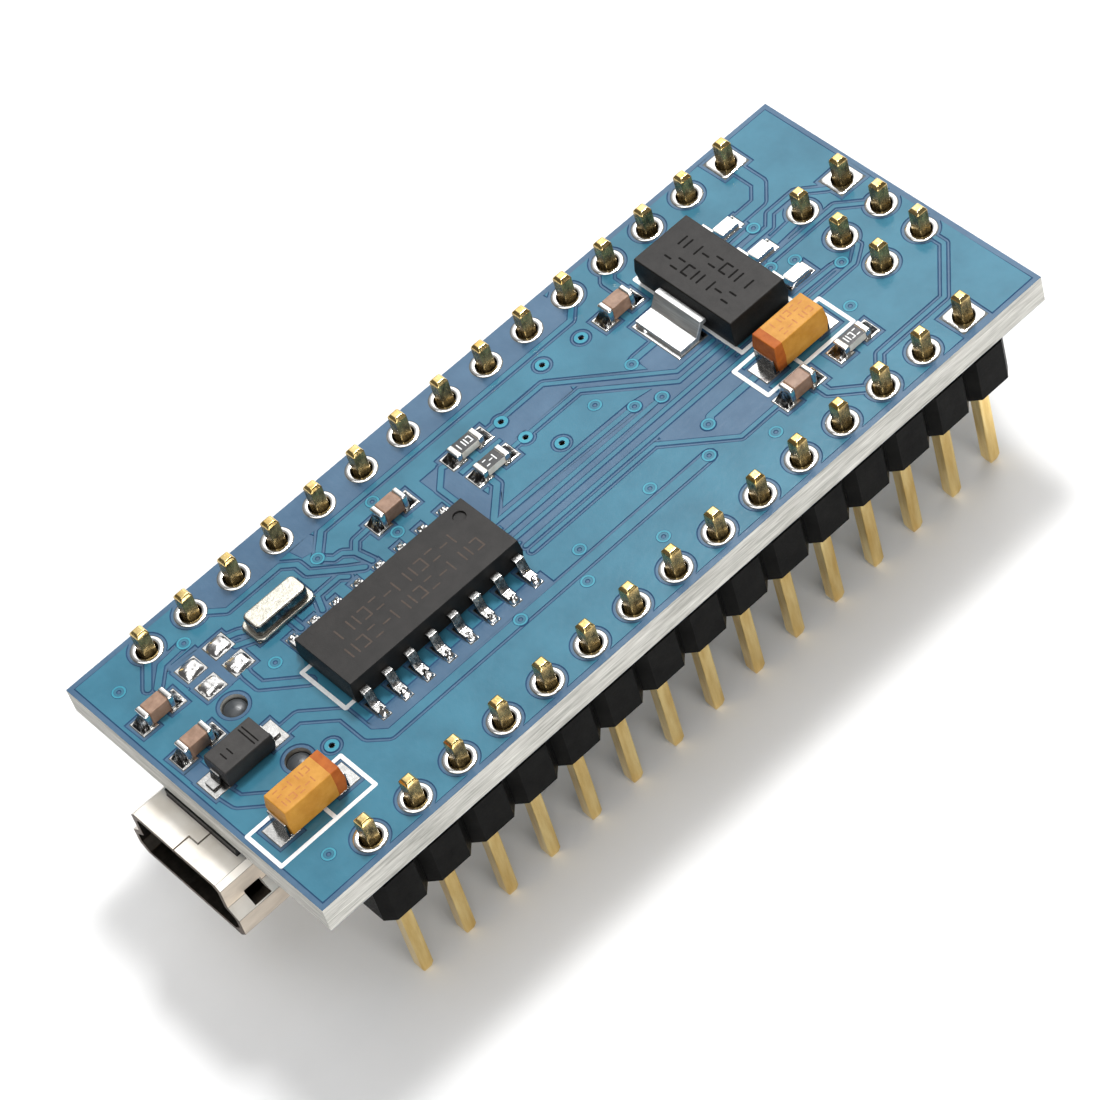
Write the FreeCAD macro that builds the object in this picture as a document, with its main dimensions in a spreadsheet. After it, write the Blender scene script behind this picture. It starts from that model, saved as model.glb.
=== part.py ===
import FreeCAD, Part
import Sketcher
import math
import os
import re

# A small microcontroller development board with two rows of header pins.
#
# The board lies level.  Its serial chip, regulator and crystal are on the upper face; the
# microcontroller, the reset button, the lamps and the USB port are on the lower face, and so
# are the plastic strips of the pin headers, whose long pins point down.
#
# Frame: millimetres, +Z up.  The origin is the centre of the grid of header pins, level with
# the tips of the long pins.  +X runs from the USB port towards the programming header.

SIZES = {
    # board and its thin layers
    "board_length": 43.0, "board_width": 17.6, "board_thickness": 1.6, "layer": 0.04,
    # pin headers
    "pitch": 2.54, "pins_per_row": 15, "row_spacing": 15.24,
    "pin_side": 0.64, "pin_tail": 6.0, "pin_rise": 1.4, "pin_point": 0.35, "pin_taper": -16,
    "pin_crown": 0.15, "crown_taper": -38, "strip_height": 2.54, "strip_width": 2.54,
    "strip_corner": 0.45, "strip_relief": 0.25, "groove_margin": 1.0,
    "programming_x": 17.78, "programming_rows": 3, "programming_columns": 2,
    # plated holes
    "drill_radius": 0.55, "bore_radius": 0.5, "ring_radius": 0.75, "square_land": 1.5,
    "mask_gap": 0.08,
    # USB port, whose heights are distances from the board's lower face
    "port_front": 23.2, "port_length": 9.2, "port_lift": 0.45, "port_height": 3.85,
    "port_narrow": 3.1, "port_wide": 3.7, "port_ledge": 1.95, "port_ledge_rise": 0.45,
    "port_corner": 0.26, "port_far_corner": 0.42, "shell_wall": 0.28, "lip": 1.6,
    "seam_gap": 0.06, "seam_step": 0.85, "seam_jog": 0.62, "tail_window": 1.85,
    "window_length": 0.9, "window_height": 0.6, "window_x": 1.0, "window_level": 2.05,
    "tab_length": 1.7, "tab_reach": 4.6, "tab_inset": 2.2, "riser_top": 1.0,
    "peg_x": 17.2, "peg_y": 2.2, "peg_hole_radius": 0.62, "peg_radius": 0.58, "peg_rise": 1.35,
    "tongue_width": 4.1, "tongue_low": 1.05, "tongue_high": 1.75, "tongue_inset": 0.9,
    "floor_width": 4.9, "floor_height": 0.8, "back_block": 3.2, "fit_gap": 0.02,
    "root_length": 1.2, "root_overlap": 0.9,
    "contact_count": 5, "contact_pitch": 0.8, "contact_width": 0.36, "contact_thickness": 0.15,
    "contact_level": 1.79, "contact_inset": 1.2, "contact_tail": 1.1, "contact_back": 0.35,
    "contact_land_length": 1.6, "contact_land_width": 0.48,
    # 16-lead serial chip
    "serial_length": 9.9, "serial_width": 3.9, "serial_height": 1.4, "serial_lift": 0.12,
    "serial_pitch": 1.27, "serial_leads": 8, "serial_reach": 3.0, "dimple_radius": 0.3,
    "dimple_depth": 0.1, "dimple_inset": 0.8,
    "lead_width": 0.48, "lead_thickness": 0.2, "lead_foot": 0.45, "lead_shoulder": 0.35,
    # voltage regulator
    "regulator_length": 3.5, "regulator_width": 6.5, "regulator_height": 1.6,
    "regulator_lift": 0.05, "regulator_reach": 3.5, "regulator_pitch": 2.3,
    "regulator_lead": 0.72, "regulator_tab": 3.0, "regulator_metal": 0.26,
    "regulator_shoulder": 0.35, "regulator_foot": 1.0,
    # microcontroller
    "controller_side": 7.0, "controller_height": 1.0, "controller_lift": 0.1,
    "controller_pitch": 0.8, "controller_leads": 8, "controller_reach": 4.5,
    "controller_lead_width": 0.36, "controller_metal": 0.14, "controller_shoulder": 0.25,
    "controller_foot": 0.55,
    # moulded parts share one draft angle
    "draft": -6,
    # tantalum capacitors
    "tantalum_length": 3.2, "tantalum_width": 1.6, "tantalum_height": 1.6,
    "tantalum_metal": 0.12, "tantalum_lead": 1.2, "tantalum_foot": 0.8,
    # diode
    "diode_length": 2.7, "diode_width": 1.6, "diode_height": 1.0, "diode_lift": 0.05,
    "diode_reach": 1.9, "diode_lead": 0.6, "diode_metal": 0.14, "diode_shoulder": 0.1,
    "diode_foot": 0.35,
    # crystal
    "crystal_length": 3.3, "crystal_width": 1.5, "crystal_base": 0.2, "crystal_corner": 0.35,
    "can_length": 2.95, "can_width": 1.15, "can_height": 0.65, "can_corner": 0.28,
    "can_round": 0.12,
    # small chips
    "chip_length": 1.6, "chip_width": 0.8, "chip_end": 0.3, "core_inset": 0.02,
    "capacitor_height": 0.8,
    "resistor_height": 0.45, "fillet_rise": 0.55, "fillet_reach": 1.2, "low_fillet_rise": 0.32,
    "fillet_toe": 0.04, "lamp_fillet_rise": 0.26,
    "lamp_base": 0.3, "lamp_lens": 0.3, "lens_length": 1.1, "lens_width": 0.74,
    "array_length": 3.2, "array_width": 1.6, "array_height": 0.5, "array_pitch": 0.8,
    "array_lead": 0.4, "array_metal": 0.18,
    "resonator_length": 3.2, "resonator_width": 1.3, "resonator_height": 0.9,
    "resonator_pitch": 1.2, "resonator_band": 0.4, "resonator_metal": 0.06,
    "resonator_side_band": 0.72,
    "bump_length": 1.1, "bump_width": 1.0, "bump_height": 0.16, "bump_round": 0.13,
    "bump_spacing_x": 1.6, "bump_spacing_y": 1.4,
    # reset button; its heights are distances from the board's lower face
    "button_length": 4.2, "button_width": 3.2, "button_height": 1.15, "button_cover": 0.12,
    "button_well": 1.25, "button_floor": 0.3, "cover_hole": 0.93, "plunger_radius": 0.85,
    "flange_radius": 1.17, "flange_top": 1.11, "flange_height": 0.24, "plunger_top": 1.8,
    "plunger_chamfer": 0.08, "cover_skirt": 1.2, "skirt_drop": 0.8,
    "dome_radius": 1.2, "dome_rise": 0.25, "dome_shoulder": 0.19, "dome_metal": 0.05,
    "button_lead": 0.6, "button_metal": 0.15, "button_reach": 2.75, "button_shoulder": 0.12,
    "button_foot": 0.3, "button_lead_pitch": 2.0,
}

# Where each component's centre lies on the board.
PLACES = {
    "serial_chip": (-8.8, -0.25), "regulator": (11.88, 2.3), "crystal": (-12.7, 4.45),
    "diode": (-18.75, -0.3), "bumps": (-16.4, 4.5),
    "tantalum_a": (11.9, -2.8), "tantalum_b": (-18.35, -4.4),
    "capacitor_a": (-19.6, 4.55), "capacitor_b": (-19.6, 1.8), "capacitor_c": (-5.85, 4.62),
    "capacitor_d": (8.5, 5.1), "capacitor_e": (10.3, -4.8),
    "resistor_a": (-1.3, 4.65), "resistor_b": (-1.2, 3.0), "resistor_c": (13.7, -4.75),
    "controller": (0.75, 0.0), "button": (9.9, 0.0), "resonator": (-6.9, -4.0),
    "array_a": (-11.0, 3.9), "array_b": (-11.0, -3.9),
    "lamp_a": (13.8, -4.5), "lamp_b": (13.8, -1.5), "lamp_c": (13.8, 1.5), "lamp_d": (13.8, 4.5),
    "capacitor_f": (-5.9, 5.1), "capacitor_g": (7.3, 4.7), "capacitor_h": (7.3, -4.7),
    "capacitor_i": (-8.4, -0.9), "capacitor_j": (-8.4, 1.2),
    "resistor_d": (-2.9, -5.3), "resistor_e": (10.1, 4.6),
}

UPPER_CAPACITORS = ("capacitor_a", "capacitor_b", "capacitor_c", "capacitor_d", "capacitor_e")
UPPER_RESISTORS = ("resistor_a", "resistor_b", "resistor_c")
LOWER_CAPACITORS = ("capacitor_f", "capacitor_g", "capacitor_h", "capacitor_i", "capacitor_j")
LOWER_RESISTORS = ("resistor_d", "resistor_e")
LAMPS = ("lamp_a", "lamp_b", "lamp_c", "lamp_d")
ARRAYS = ("array_a", "array_b")
TANTALUMS = ("tantalum_a", "tantalum_b")

# Solder lands of each kind of part: outer reach and length along the part, and width.
LAND_SIZES = {
    "chip": (1.23, 0.85, 1.0), "tantalum": (2.25, 1.15, 1.25), "diode": (2.1, 0.95, 1.3),
    "serial": (3.3, 1.25, 0.5), "regulator": (3.75, 1.5, 0.85), "tab": (3.7, 1.8, 3.1),
    "controller": (4.9, 1.2, 0.5), "button": (3.0, 1.1, 0.9), "array": (1.25, 0.75, 0.45),
    "resonator": (0.95, 0.6, 0.6), "crystal": (1.62, 0.9, 1.2), "tab_foot": (4.7, 1.2, 2.0),
}

UPPER, LOWER = "upper", "lower"
LEVEL = {
    UPPER: "(pin_tail + strip_height + board_thickness)",
    LOWER: "(pin_tail + strip_height)",
}

doc = FreeCAD.newDocument("development_board")
sheet = doc.addObject("Spreadsheet::Sheet", "sizes")
for name, (x, y) in PLACES.items():
    SIZES[f"{name}_x"] = x
    SIZES[f"{name}_y"] = y
for name, land_sizes in LAND_SIZES.items():
    for measure, number in zip(("reach", "length", "width"), land_sizes):
        SIZES[f"{name}_land_{measure}"] = number
for row, (name, number) in enumerate(SIZES.items(), 1):
    sheet.set(f"A{row}", name)
    sheet.set(f"B{row}", str(number))
    sheet.setAlias(f"B{row}", name)
doc.recompute()

sub_parts = []


# ---------------------------------------------------------------- building blocks

def on_sheet(formula):
    """The formula with every sheet alias written as FreeCAD's expressions want it."""
    return re.sub(
        r"[a-z][a-z_0-9]*",
        lambda word: f"sizes.{word[0]}" if word[0] in SIZES else word[0],
        formula,
    )


def bind(thing, **formulas):
    for setting, formula in formulas.items():
        thing.setExpression(setting, on_sheet(formula))


def place(thing, x, y, z):
    for axis, formula in zip("xyz", (x, y, z)):
        thing.setExpression(f"Placement.Base.{axis}", on_sheet(formula))


def keep(thing):
    """Count this object among the sub-parts that are written out."""
    sub_parts.append(thing)
    return thing


def new_body(name, x="0", y="0", z="0", face=UPPER, turn=0):
    """A body that stands at z, with its own +Z away from the given face of the board."""
    body = doc.addObject("PartDesign::Body", name)
    body.Label = name
    spin = FreeCAD.Rotation(FreeCAD.Vector(0, 0, 1), turn)
    if face == LOWER:
        spin = FreeCAD.Rotation(FreeCAD.Vector(1, 0, 0), 180).multiply(spin)
    body.Placement = FreeCAD.Placement(FreeCAD.Vector(), spin)
    place(body, x, y, z)
    return body


def on_board(name, component, face=UPPER, turn=0):
    return new_body(name, f"{component}_x", f"{component}_y", LEVEL[face], face, turn)


def origin_part(body, role):
    return next(part for part in body.Origin.OriginFeatures if part.Role == role)


def sketch(body, name, plane="XY_Plane", offset="0"):
    drawing = body.newObject("Sketcher::SketchObject", name)
    drawing.AttachmentSupport = (origin_part(body, plane), [""])
    drawing.MapMode = "FlatFace"
    drawing.setExpression("AttachmentOffset.Base.z", on_sheet(offset))
    return drawing


def fix_point(drawing, curve, point, x, y, start):
    """Tie a point of a curve to its distances from the sketch's origin."""
    for kind, formula, first in (("DistanceX", x, start.x), ("DistanceY", y, start.y)):
        index = drawing.addConstraint(Sketcher.Constraint(kind, -1, 1, curve, point, first))
        drawing.setExpression(f"Constraints[{index}]", on_sheet(formula))


def outline(drawing, points):
    """A closed outline of straight lines through points given as pairs of formulas."""
    first = drawing.GeometryCount
    count = len(points)
    corners = [
        FreeCAD.Vector(math.cos(k * math.tau / count), math.sin(k * math.tau / count), 0)
        for k in range(count)
    ]
    for k in range(count):
        drawing.addGeometry(Part.LineSegment(corners[k], corners[(k + 1) % count]))
    for k in range(count):
        joined = Sketcher.Constraint("Coincident", first + k, 2, first + (k + 1) % count, 1)
        drawing.addConstraint(joined)
    for k, (x, y) in enumerate(points):
        fix_point(drawing, first + k, 1, x, y, corners[k])


def rectangle(drawing, x, y, length, width):
    west, east = f"{x} - ({length})/2", f"{x} + ({length})/2"
    south, north = f"{y} - ({width})/2", f"{y} + ({width})/2"
    outline(drawing, [(west, south), (east, south), (east, north), (west, north)])


def circle(drawing, x, y, radius):
    curve = drawing.addGeometry(Part.Circle(FreeCAD.Vector(1, 1, 0), FreeCAD.Vector(0, 0, 1), 1))
    index = drawing.addConstraint(Sketcher.Constraint("Radius", curve, 1))
    drawing.setExpression(f"Constraints[{index}]", on_sheet(radius))
    fix_point(drawing, curve, 3, x, y, FreeCAD.Vector(1, 1, 0))


def pad(body, drawing, length, downward=False, taper=None, both_ways=False):
    feature = body.newObject("PartDesign::Pad", f"{drawing.Name}_pad")
    feature.Profile = drawing
    feature.Reversed = downward
    feature.Midplane = both_ways
    bind(feature, Length=length)
    if taper:
        bind(feature, TaperAngle=taper)
    return feature


def pocket(body, drawing, depth=None, forward=False, both_ways=False):
    """Cut against the sketch's normal, or forward along it, to a depth or right through."""
    feature = body.newObject("PartDesign::Pocket", f"{drawing.Name}_pocket")
    feature.Profile = drawing
    feature.Reversed = forward
    feature.Midplane = both_ways
    if depth:
        bind(feature, Length=depth)
    else:
        feature.Type = "ThroughAll"
    doc.recompute()
    base = feature.BaseFeature.Shape
    if feature.Shape.Volume > base.Volume - 1e-6:
        raise RuntimeError(f"{body.Label}: {drawing.Name} cuts nothing")
    return feature


def repeated(body, name, features, steps):
    """Repeat features by rows (axis, length, count), mirrors (plane) and turns (axis, count)."""
    several = body.newObject("PartDesign::MultiTransform", name)
    several.Originals = features
    transforms = []
    for number, (kind, reference, *measures) in enumerate(steps):
        kinds = {"row": "LinearPattern", "mirror": "Mirrored", "turn": "PolarPattern"}
        step = body.newObject(f"PartDesign::{kinds[kind]}", f"{name}_{kind}_{number}")
        if kind == "row":
            step.Direction = (origin_part(body, reference), [""])
            bind(step, Length=measures[0], Occurrences=measures[1])
        elif kind == "mirror":
            step.MirrorPlane = (origin_part(body, reference), [""])
        else:
            step.Axis = (origin_part(body, reference), [""])
            step.Angle = 360
            bind(step, Occurrences=measures[0])
        transforms.append(step)
    several.Transformations = transforms
    body.Tip = several
    return several


def rounded(body, feature, radius, wanted, name="rounding"):
    """Fillet the edges of a feature for which wanted(edge) holds."""
    doc.recompute()
    edges = [f"Edge{i}" for i, edge in enumerate(feature.Shape.Edges, 1) if wanted(edge)]
    fillet = body.newObject("PartDesign::Fillet", name)
    fillet.Base = (feature, edges)
    bind(fillet, Radius=radius)
    return fillet


def is_upright(edge):
    return edge.BoundBox.ZLength > 0.9 * edge.Length


def is_on_top_of(shape):
    top = shape.BoundBox.ZMax
    return lambda edge: edge.BoundBox.ZMin > top - 1e-6


def block(name, x, y, length, width, height, rise="0", face=UPPER):
    """A box centred on (x, y), standing rise above the given face of the board."""
    thing = doc.addObject("Part::Box", name)
    thing.Label = name
    bind(thing, Length=length, Width=width, Height=height)
    level = f"{LEVEL[UPPER]} + {rise}"
    if face == LOWER:
        level = f"{LEVEL[LOWER]} - ({rise}) - ({height})"
    place(thing, f"{x} - ({length})/2", f"{y} - ({width})/2", level)
    return thing


def group(name, members):
    """Several separate solids of one kind, as one sub-part."""
    together = doc.addObject("Part::Compound", name)
    together.Label = name
    together.Links = members
    return keep(together)


def less(name, base, tool):
    """A sub-part that is one object with another cut out of it."""
    result = doc.addObject("Part::Cut", name)
    result.Label = name
    result.Base = base
    result.Tool = tool
    return keep(result)


def moulding(body, length, width, lift, height):
    """A moulded case: its sides lean in, above and below a parting line at half height."""
    parting = sketch(body, "parting_line", offset=f"{lift} + {height}/2")
    rectangle(parting, "0", "0", length, width)
    pad(body, parting, f"{height}/2", taper="draft")
    lower_half = sketch(body, "lower_half", offset=f"{lift} + {height}/2")
    rectangle(lower_half, "0", "0", length, width)
    return pad(body, lower_half, f"{height}/2", downward=True, taper="draft")


def bent_lead(start, shoulder, reach, foot, level, metal):
    """Side view of a lead that leaves a case level, bends down and ends in a flat foot."""
    return [
        (start, f"{level} + {metal}"),
        (f"{start} + {shoulder}", f"{level} + {metal}"),
        (f"{reach} - {foot}", metal),
        (reach, metal),
        (reach, "0"),
        (f"{reach} - {foot} - {metal}/2", "0"),
        (f"{start} + {shoulder} - {metal}/2", level),
        (start, level),
    ]


# ---------------------------------------------------------------- board

def header_holes(body, radius, level, depth):
    """The two rows of holes and the programming header's holes, cut down from a level."""
    hole = sketch(body, "header_hole", offset=level)
    circle(hole, "-pitch*(pins_per_row - 1)/2", "row_spacing/2", radius)
    cut = pocket(body, hole, depth)
    row = ("row", "X_Axis", "pitch*(pins_per_row - 1)", "pins_per_row")
    repeated(body, "header_rows", [cut], [row, ("mirror", "XZ_Plane")])
    hole = sketch(body, "programming_hole", offset=level)
    circle(hole, "programming_x", "-pitch", radius)
    cut = pocket(body, hole, depth)
    repeated(body, "programming_holes", [cut], programming_grid())


def programming_grid():
    return [
        ("row", "X_Axis", "pitch*(programming_columns - 1)", "programming_columns"),
        ("row", "Y_Axis", "pitch*(programming_rows - 1)", "programming_rows"),
    ]


def peg_holes(body, level, depth):
    holes = sketch(body, "peg_holes", offset=level)
    for side in ("peg_y", "-peg_y"):
        circle(holes, "-peg_x", side, "peg_hole_radius")
    pocket(body, holes, depth)


def square_lands():
    """Centres of the square lands that mark the first pin of each header."""
    return [
        ("programming_x", "row_spacing/2"),
        ("programming_x", "-row_spacing/2"),
        ("programming_x + pitch", "pitch"),
    ]


def circuit_board():
    body = new_body("circuit_board", z=f"{LEVEL[LOWER]} + layer")
    edge = sketch(body, "edge")
    rectangle(edge, "0", "0", "board_length", "board_width")
    thickness = "board_thickness - 2*layer"
    pad(body, edge, thickness)
    header_holes(body, "drill_radius", thickness, None)
    peg_holes(body, thickness, None)
    return keep(body)


def mask_sheet(name, level):
    """One coat of solder mask, open round every plated hole."""
    body = new_body(name, z=level)
    edge = sketch(body, "edge")
    rectangle(edge, "0", "0", "board_length", "board_width")
    pad(body, edge, "layer")
    header_holes(body, "ring_radius + mask_gap", "layer", None)
    squares = sketch(body, "square_openings", offset="layer")
    for x, y in square_lands():
        rectangle(squares, x, y, "(square_land + 2*mask_gap)", "(square_land + 2*mask_gap)")
    pocket(body, squares)
    peg_holes(body, "layer", None)
    return body


def plated_holes():
    """Copper barrels with a ring on each face, tinned, one for each header pin."""
    body = new_body("plated_holes", z=LEVEL[LOWER])
    rims = []
    for name, level, length, radius in (
        ("barrel", "0", "board_thickness", "drill_radius"),
        ("lower_ring", "0", "layer", "ring_radius"),
        ("upper_ring", "board_thickness - layer", "layer", "ring_radius"),
    ):
        ring = sketch(body, name, offset=level)
        circle(ring, "-pitch*(pins_per_row - 1)/2", "row_spacing/2", radius)
        circle(ring, "-pitch*(pins_per_row - 1)/2", "row_spacing/2", "bore_radius")
        rims.append(pad(body, ring, length))
    row = ("row", "X_Axis", "pitch*(pins_per_row - 1)", "pins_per_row")
    repeated(body, "header_rows", rims, [row, ("mirror", "XZ_Plane")])
    rims = []
    for name, level, length, radius in (
        ("short_barrel", "0", "board_thickness", "drill_radius"),
        ("short_lower_ring", "0", "layer", "ring_radius"),
        ("short_upper_ring", "board_thickness - layer", "layer", "ring_radius"),
    ):
        ring = sketch(body, name, offset=level)
        circle(ring, "programming_x", "-pitch", radius)
        circle(ring, "programming_x", "-pitch", "bore_radius")
        rims.append(pad(body, ring, length))
    repeated(body, "programming_holes", rims, programming_grid())
    for name, level in (("lower_squares", "0"), ("upper_squares", "board_thickness - layer")):
        squares = sketch(body, name, offset=level)
        for x, y in square_lands():
            rectangle(squares, x, y, "square_land", "square_land")
            circle(squares, x, y, "bore_radius")
        pad(body, squares, "layer")
    return keep(body)


# ---------------------------------------------------------------- solder lands

lands = {UPPER: [], LOWER: []}


def land(name, x, y, length, width, face):
    """One tinned copper land, level with the mask round it."""
    lands[face].append(block(name, x, y, length, width, "layer", "-layer", face))


def end_lands(component, kind, face, upright=False):
    """The two lands of a part with a terminal at each end."""
    middle = f"({kind}_land_reach - {kind}_land_length/2)"
    for end, sign in (("low", "-"), ("high", "+")):
        x, y = f"{component}_x", f"{component}_y"
        size = (f"{kind}_land_length", f"{kind}_land_width")
        if upright:
            y, size = f"{y} {sign} {middle}", size[::-1]
        else:
            x = f"{x} {sign} {middle}"
        land(f"{component}_{end}_land", x, y, *size, face)


def serial_lands():
    for number in range(SIZES["serial_leads"]):
        x = f"serial_chip_x + serial_pitch*({number} - (serial_leads - 1)/2)"
        for side, sign in (("near", "-"), ("far", "+")):
            y = f"serial_chip_y {sign} (serial_land_reach - serial_land_length/2)"
            name = f"serial_{side}_land_{number}"
            land(name, x, y, "serial_land_width", "serial_land_length", UPPER)


def regulator_lands():
    x = "regulator_x + regulator_land_reach - regulator_land_length/2"
    for number in (-1, 0, 1):
        y = f"regulator_y + {number}*regulator_pitch"
        name = f"regulator_land_{number + 1}"
        land(name, x, y, "regulator_land_length", "regulator_land_width", UPPER)
    x = "regulator_x - tab_land_reach + tab_land_length/2"
    land("tab_land", x, "regulator_y", "tab_land_length", "tab_land_width", UPPER)


def controller_lands():
    """The lands lie in four rows, turned with the chip by an eighth of a turn."""
    body = on_board("controller_lands", "controller", LOWER, turn=45)
    drawing = sketch(body, "controller_land", offset="-layer")
    x = "controller_land_reach - controller_land_length/2"
    y = "-controller_pitch*(controller_leads - 1)/2"
    rectangle(drawing, x, y, "controller_land_length", "controller_land_width")
    row = ("row", "Y_Axis", "controller_pitch*(controller_leads - 1)", "controller_leads")
    first = pad(body, drawing, "layer")
    repeated(body, "four_rows", [first], [row, ("turn", "Z_Axis", "4")])
    lands[LOWER].append(body)


def button_lands():
    for side, sign in (("near", "-"), ("far", "+")):
        y = f"button_y {sign} (button_land_reach - button_land_length/2)"
        for number, end in enumerate(("-", "+")):
            x = f"button_x {end} button_lead_pitch/2"
            name = f"button_{side}_land_{number}"
            land(name, x, y, "button_land_width", "button_land_length", LOWER)


def array_lands(component):
    for side, sign in (("near", "-"), ("far", "+")):
        y = f"{component}_y {sign} (array_land_reach - array_land_length/2)"
        for number in range(4):
            x = f"{component}_x + array_pitch*({number} - 1.5)"
            name = f"{component}_{side}_land_{number}"
            land(name, x, y, "array_land_width", "array_land_length", LOWER)


def resonator_lands():
    for number in (-1, 0, 1):
        x = f"resonator_x + {number}*resonator_pitch"
        name = f"resonator_land_{number + 1}"
        land(name, x, "resonator_y", "resonator_land_width", "2*resonator_land_reach", LOWER)


def tab_foot_lands():
    for end, inset in (("front", "tab_inset"), ("back", "port_length - tab_length")):
        x = f"-port_front + {inset} + tab_length/2"
        for side, sign in (("near", "-"), ("far", "+")):
            y = f"{sign}(tab_foot_land_reach - tab_foot_land_length/2)"
            name = f"{end}_{side}_tab_land"
            land(name, x, y, "tab_foot_land_width", "tab_foot_land_length", LOWER)


def contact_lands():
    for number in range(SIZES["contact_count"]):
        y = f"contact_pitch*({number} - (contact_count - 1)/2)"
        x = "-port_front + port_length + contact_tail"
        land(f"contact_land_{number}", x, y, "contact_land_length", "contact_land_width", LOWER)


# ---------------------------------------------------------------- pin headers

def pins(name, x, y, steps):
    """Square pins with pointed tails and blunt crowns, pressed into the plastic strip."""
    body = new_body(name, x, y)
    shaft = sketch(body, "shaft", offset="pin_point")
    rectangle(shaft, "0", "0", "pin_side", "pin_side")
    top = f"{LEVEL[UPPER]} + pin_rise - pin_crown"
    crown = sketch(body, "crown", offset=top)
    rectangle(crown, "0", "0", "pin_side", "pin_side")
    point = sketch(body, "point", offset="pin_point")
    rectangle(point, "0", "0", "pin_side", "pin_side")
    made = [
        pad(body, shaft, f"{top} - pin_point"),
        pad(body, crown, "pin_crown", taper="crown_taper"),
        pad(body, point, "pin_point", downward=True, taper="pin_taper"),
    ]
    repeated(body, "all_pins", made, steps)
    return keep(body)


def strip(name, x, y, steps, feet):
    """A break-apart plastic strip: eight-sided cells in a row, each round one pin."""
    body = new_body(name, x, y, "pin_tail")
    cell = sketch(body, "cell")
    half, corner = "strip_width/2", "strip_corner"
    long_half = "pitch/2"
    outline(cell, [
        (f"-{long_half}", f"-{half} + {corner}"), (f"-{long_half} + {corner}", f"-{half}"),
        (f"{long_half} - {corner}", f"-{half}"), (long_half, f"-{half} + {corner}"),
        (long_half, f"{half} - {corner}"), (f"{long_half} - {corner}", half),
        (f"-{long_half} + {corner}", half), (f"-{long_half}", f"{half} - {corner}"),
    ])
    first = pad(body, cell, "strip_height")
    repeated(body, "cells", [first], steps)
    hole = sketch(body, "pin_hole", offset="strip_height")
    rectangle(hole, "0", "0", "pin_side", "pin_side")
    cut = pocket(body, hole)
    repeated(body, "pin_holes", [cut], steps)
    relief = sketch(body, "board_side_groove", "YZ_Plane", offset=f"-{long_half} - groove_margin")
    rectangle(relief, "0", "strip_height", feet, "2*strip_relief")
    pocket(body, relief, "pitch*pins_per_row + 2*groove_margin", forward=True)
    return keep(body)


def headers():
    row = [("row", "X_Axis", "pitch*(pins_per_row - 1)", "pins_per_row")]
    start = "-pitch*(pins_per_row - 1)/2"
    for side, y in (("left", "row_spacing/2"), ("right", "-row_spacing/2")):
        strip(f"header_strip_{side}", start, y, row, "strip_width/3")
        pins(f"header_pins_{side}", start, y, row)
    grid = programming_grid()
    strip("programming_strip", "programming_x", "-pitch", grid, "strip_width/3")
    pins("programming_pins", "programming_x", "-pitch", grid)


# ---------------------------------------------------------------- USB port

def port_profile(inset):
    """The port's mouth seen from the front, shrunk by an inset; it is narrower by the board."""
    low, high = f"port_lift + {inset}", f"port_height - {inset}"
    narrow, wide = f"port_narrow - {inset}", f"port_wide - {inset}"
    ledge = f"port_ledge + {inset}/2"
    right = [
        (f"{narrow} - port_corner", low), (narrow, f"{low} + port_corner"), (narrow, ledge),
        (wide, f"{ledge} + port_ledge_rise"), (wide, f"{high} - port_far_corner"),
        (f"{wide} - port_far_corner", high),
    ]
    left = [(f"-({y})", z) for y, z in reversed(right)]
    return right + left


def port_body(name):
    """The port is drawn upside down: its own +Z points away from the board's lower face."""
    return new_body(name, x="-port_front", z=LEVEL[LOWER], face=LOWER)


def usb_shell():
    body = port_body("usb_shell")
    profile = sketch(body, "profile", "YZ_Plane")
    outline(profile, port_profile("0"))
    pad(body, profile, "port_length")
    hollow = sketch(body, "mouth", "YZ_Plane")
    outline(hollow, port_profile("shell_wall"))
    pocket(body, hollow, "port_length - shell_wall", forward=True)
    # the face next to the board is only a lip in front of the plastic floor
    opening = sketch(body, "floor_opening")
    rectangle(opening, "(lip + port_length)/2", "0", "port_length - lip", "floor_width")
    pocket(body, opening, "port_lift + shell_wall", forward=True)
    tails = sketch(body, "tail_window", "YZ_Plane", offset="port_length")
    rectangle(tails, "0", "tail_window/2", "floor_width", "tail_window")
    pocket(body, tails, "shell_wall")
    # the folded edges meet along a stepped seam
    seam = sketch(body, "seam")
    outline(seam, [
        ("0", "-seam_gap/2"), ("seam_step + seam_gap", "-seam_gap/2"),
        ("seam_step + seam_gap", "seam_jog - seam_gap/2"), ("lip", "seam_jog - seam_gap/2"),
        ("lip", "seam_jog + seam_gap/2"), ("seam_step", "seam_jog + seam_gap/2"),
        ("seam_step", "seam_gap/2"), ("0", "seam_gap/2"),
    ])
    pocket(body, seam, "port_lift + shell_wall", forward=True)
    window = sketch(body, "side_windows", "XZ_Plane")
    rectangle(window, "window_x + window_length/2", "window_level", "window_length",
              "window_height")
    pocket(body, window, "3*port_wide", both_ways=True)
    # four feet reach out to the board, two on each side
    feet = []
    for end, inset in (("front", "tab_inset"), ("back", "port_length - tab_length")):
        foot = sketch(body, f"{end}_foot", "XZ_Plane", offset="port_narrow - shell_wall/2")
        rectangle(foot, f"{inset} + tab_length/2", "shell_wall", "tab_length", "2*shell_wall")
        feet.append(pad(body, foot, "tab_reach - port_narrow + shell_wall/2"))
        riser = sketch(body, f"{end}_riser", "XZ_Plane", offset="port_narrow - shell_wall")
        rectangle(riser, f"{inset} + tab_length/2", "riser_top/2", "tab_length", "riser_top")
        feet.append(pad(body, riser, "shell_wall"))
    repeated(body, "feet", feet, [("mirror", "XZ_Plane")])
    return keep(body)


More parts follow.
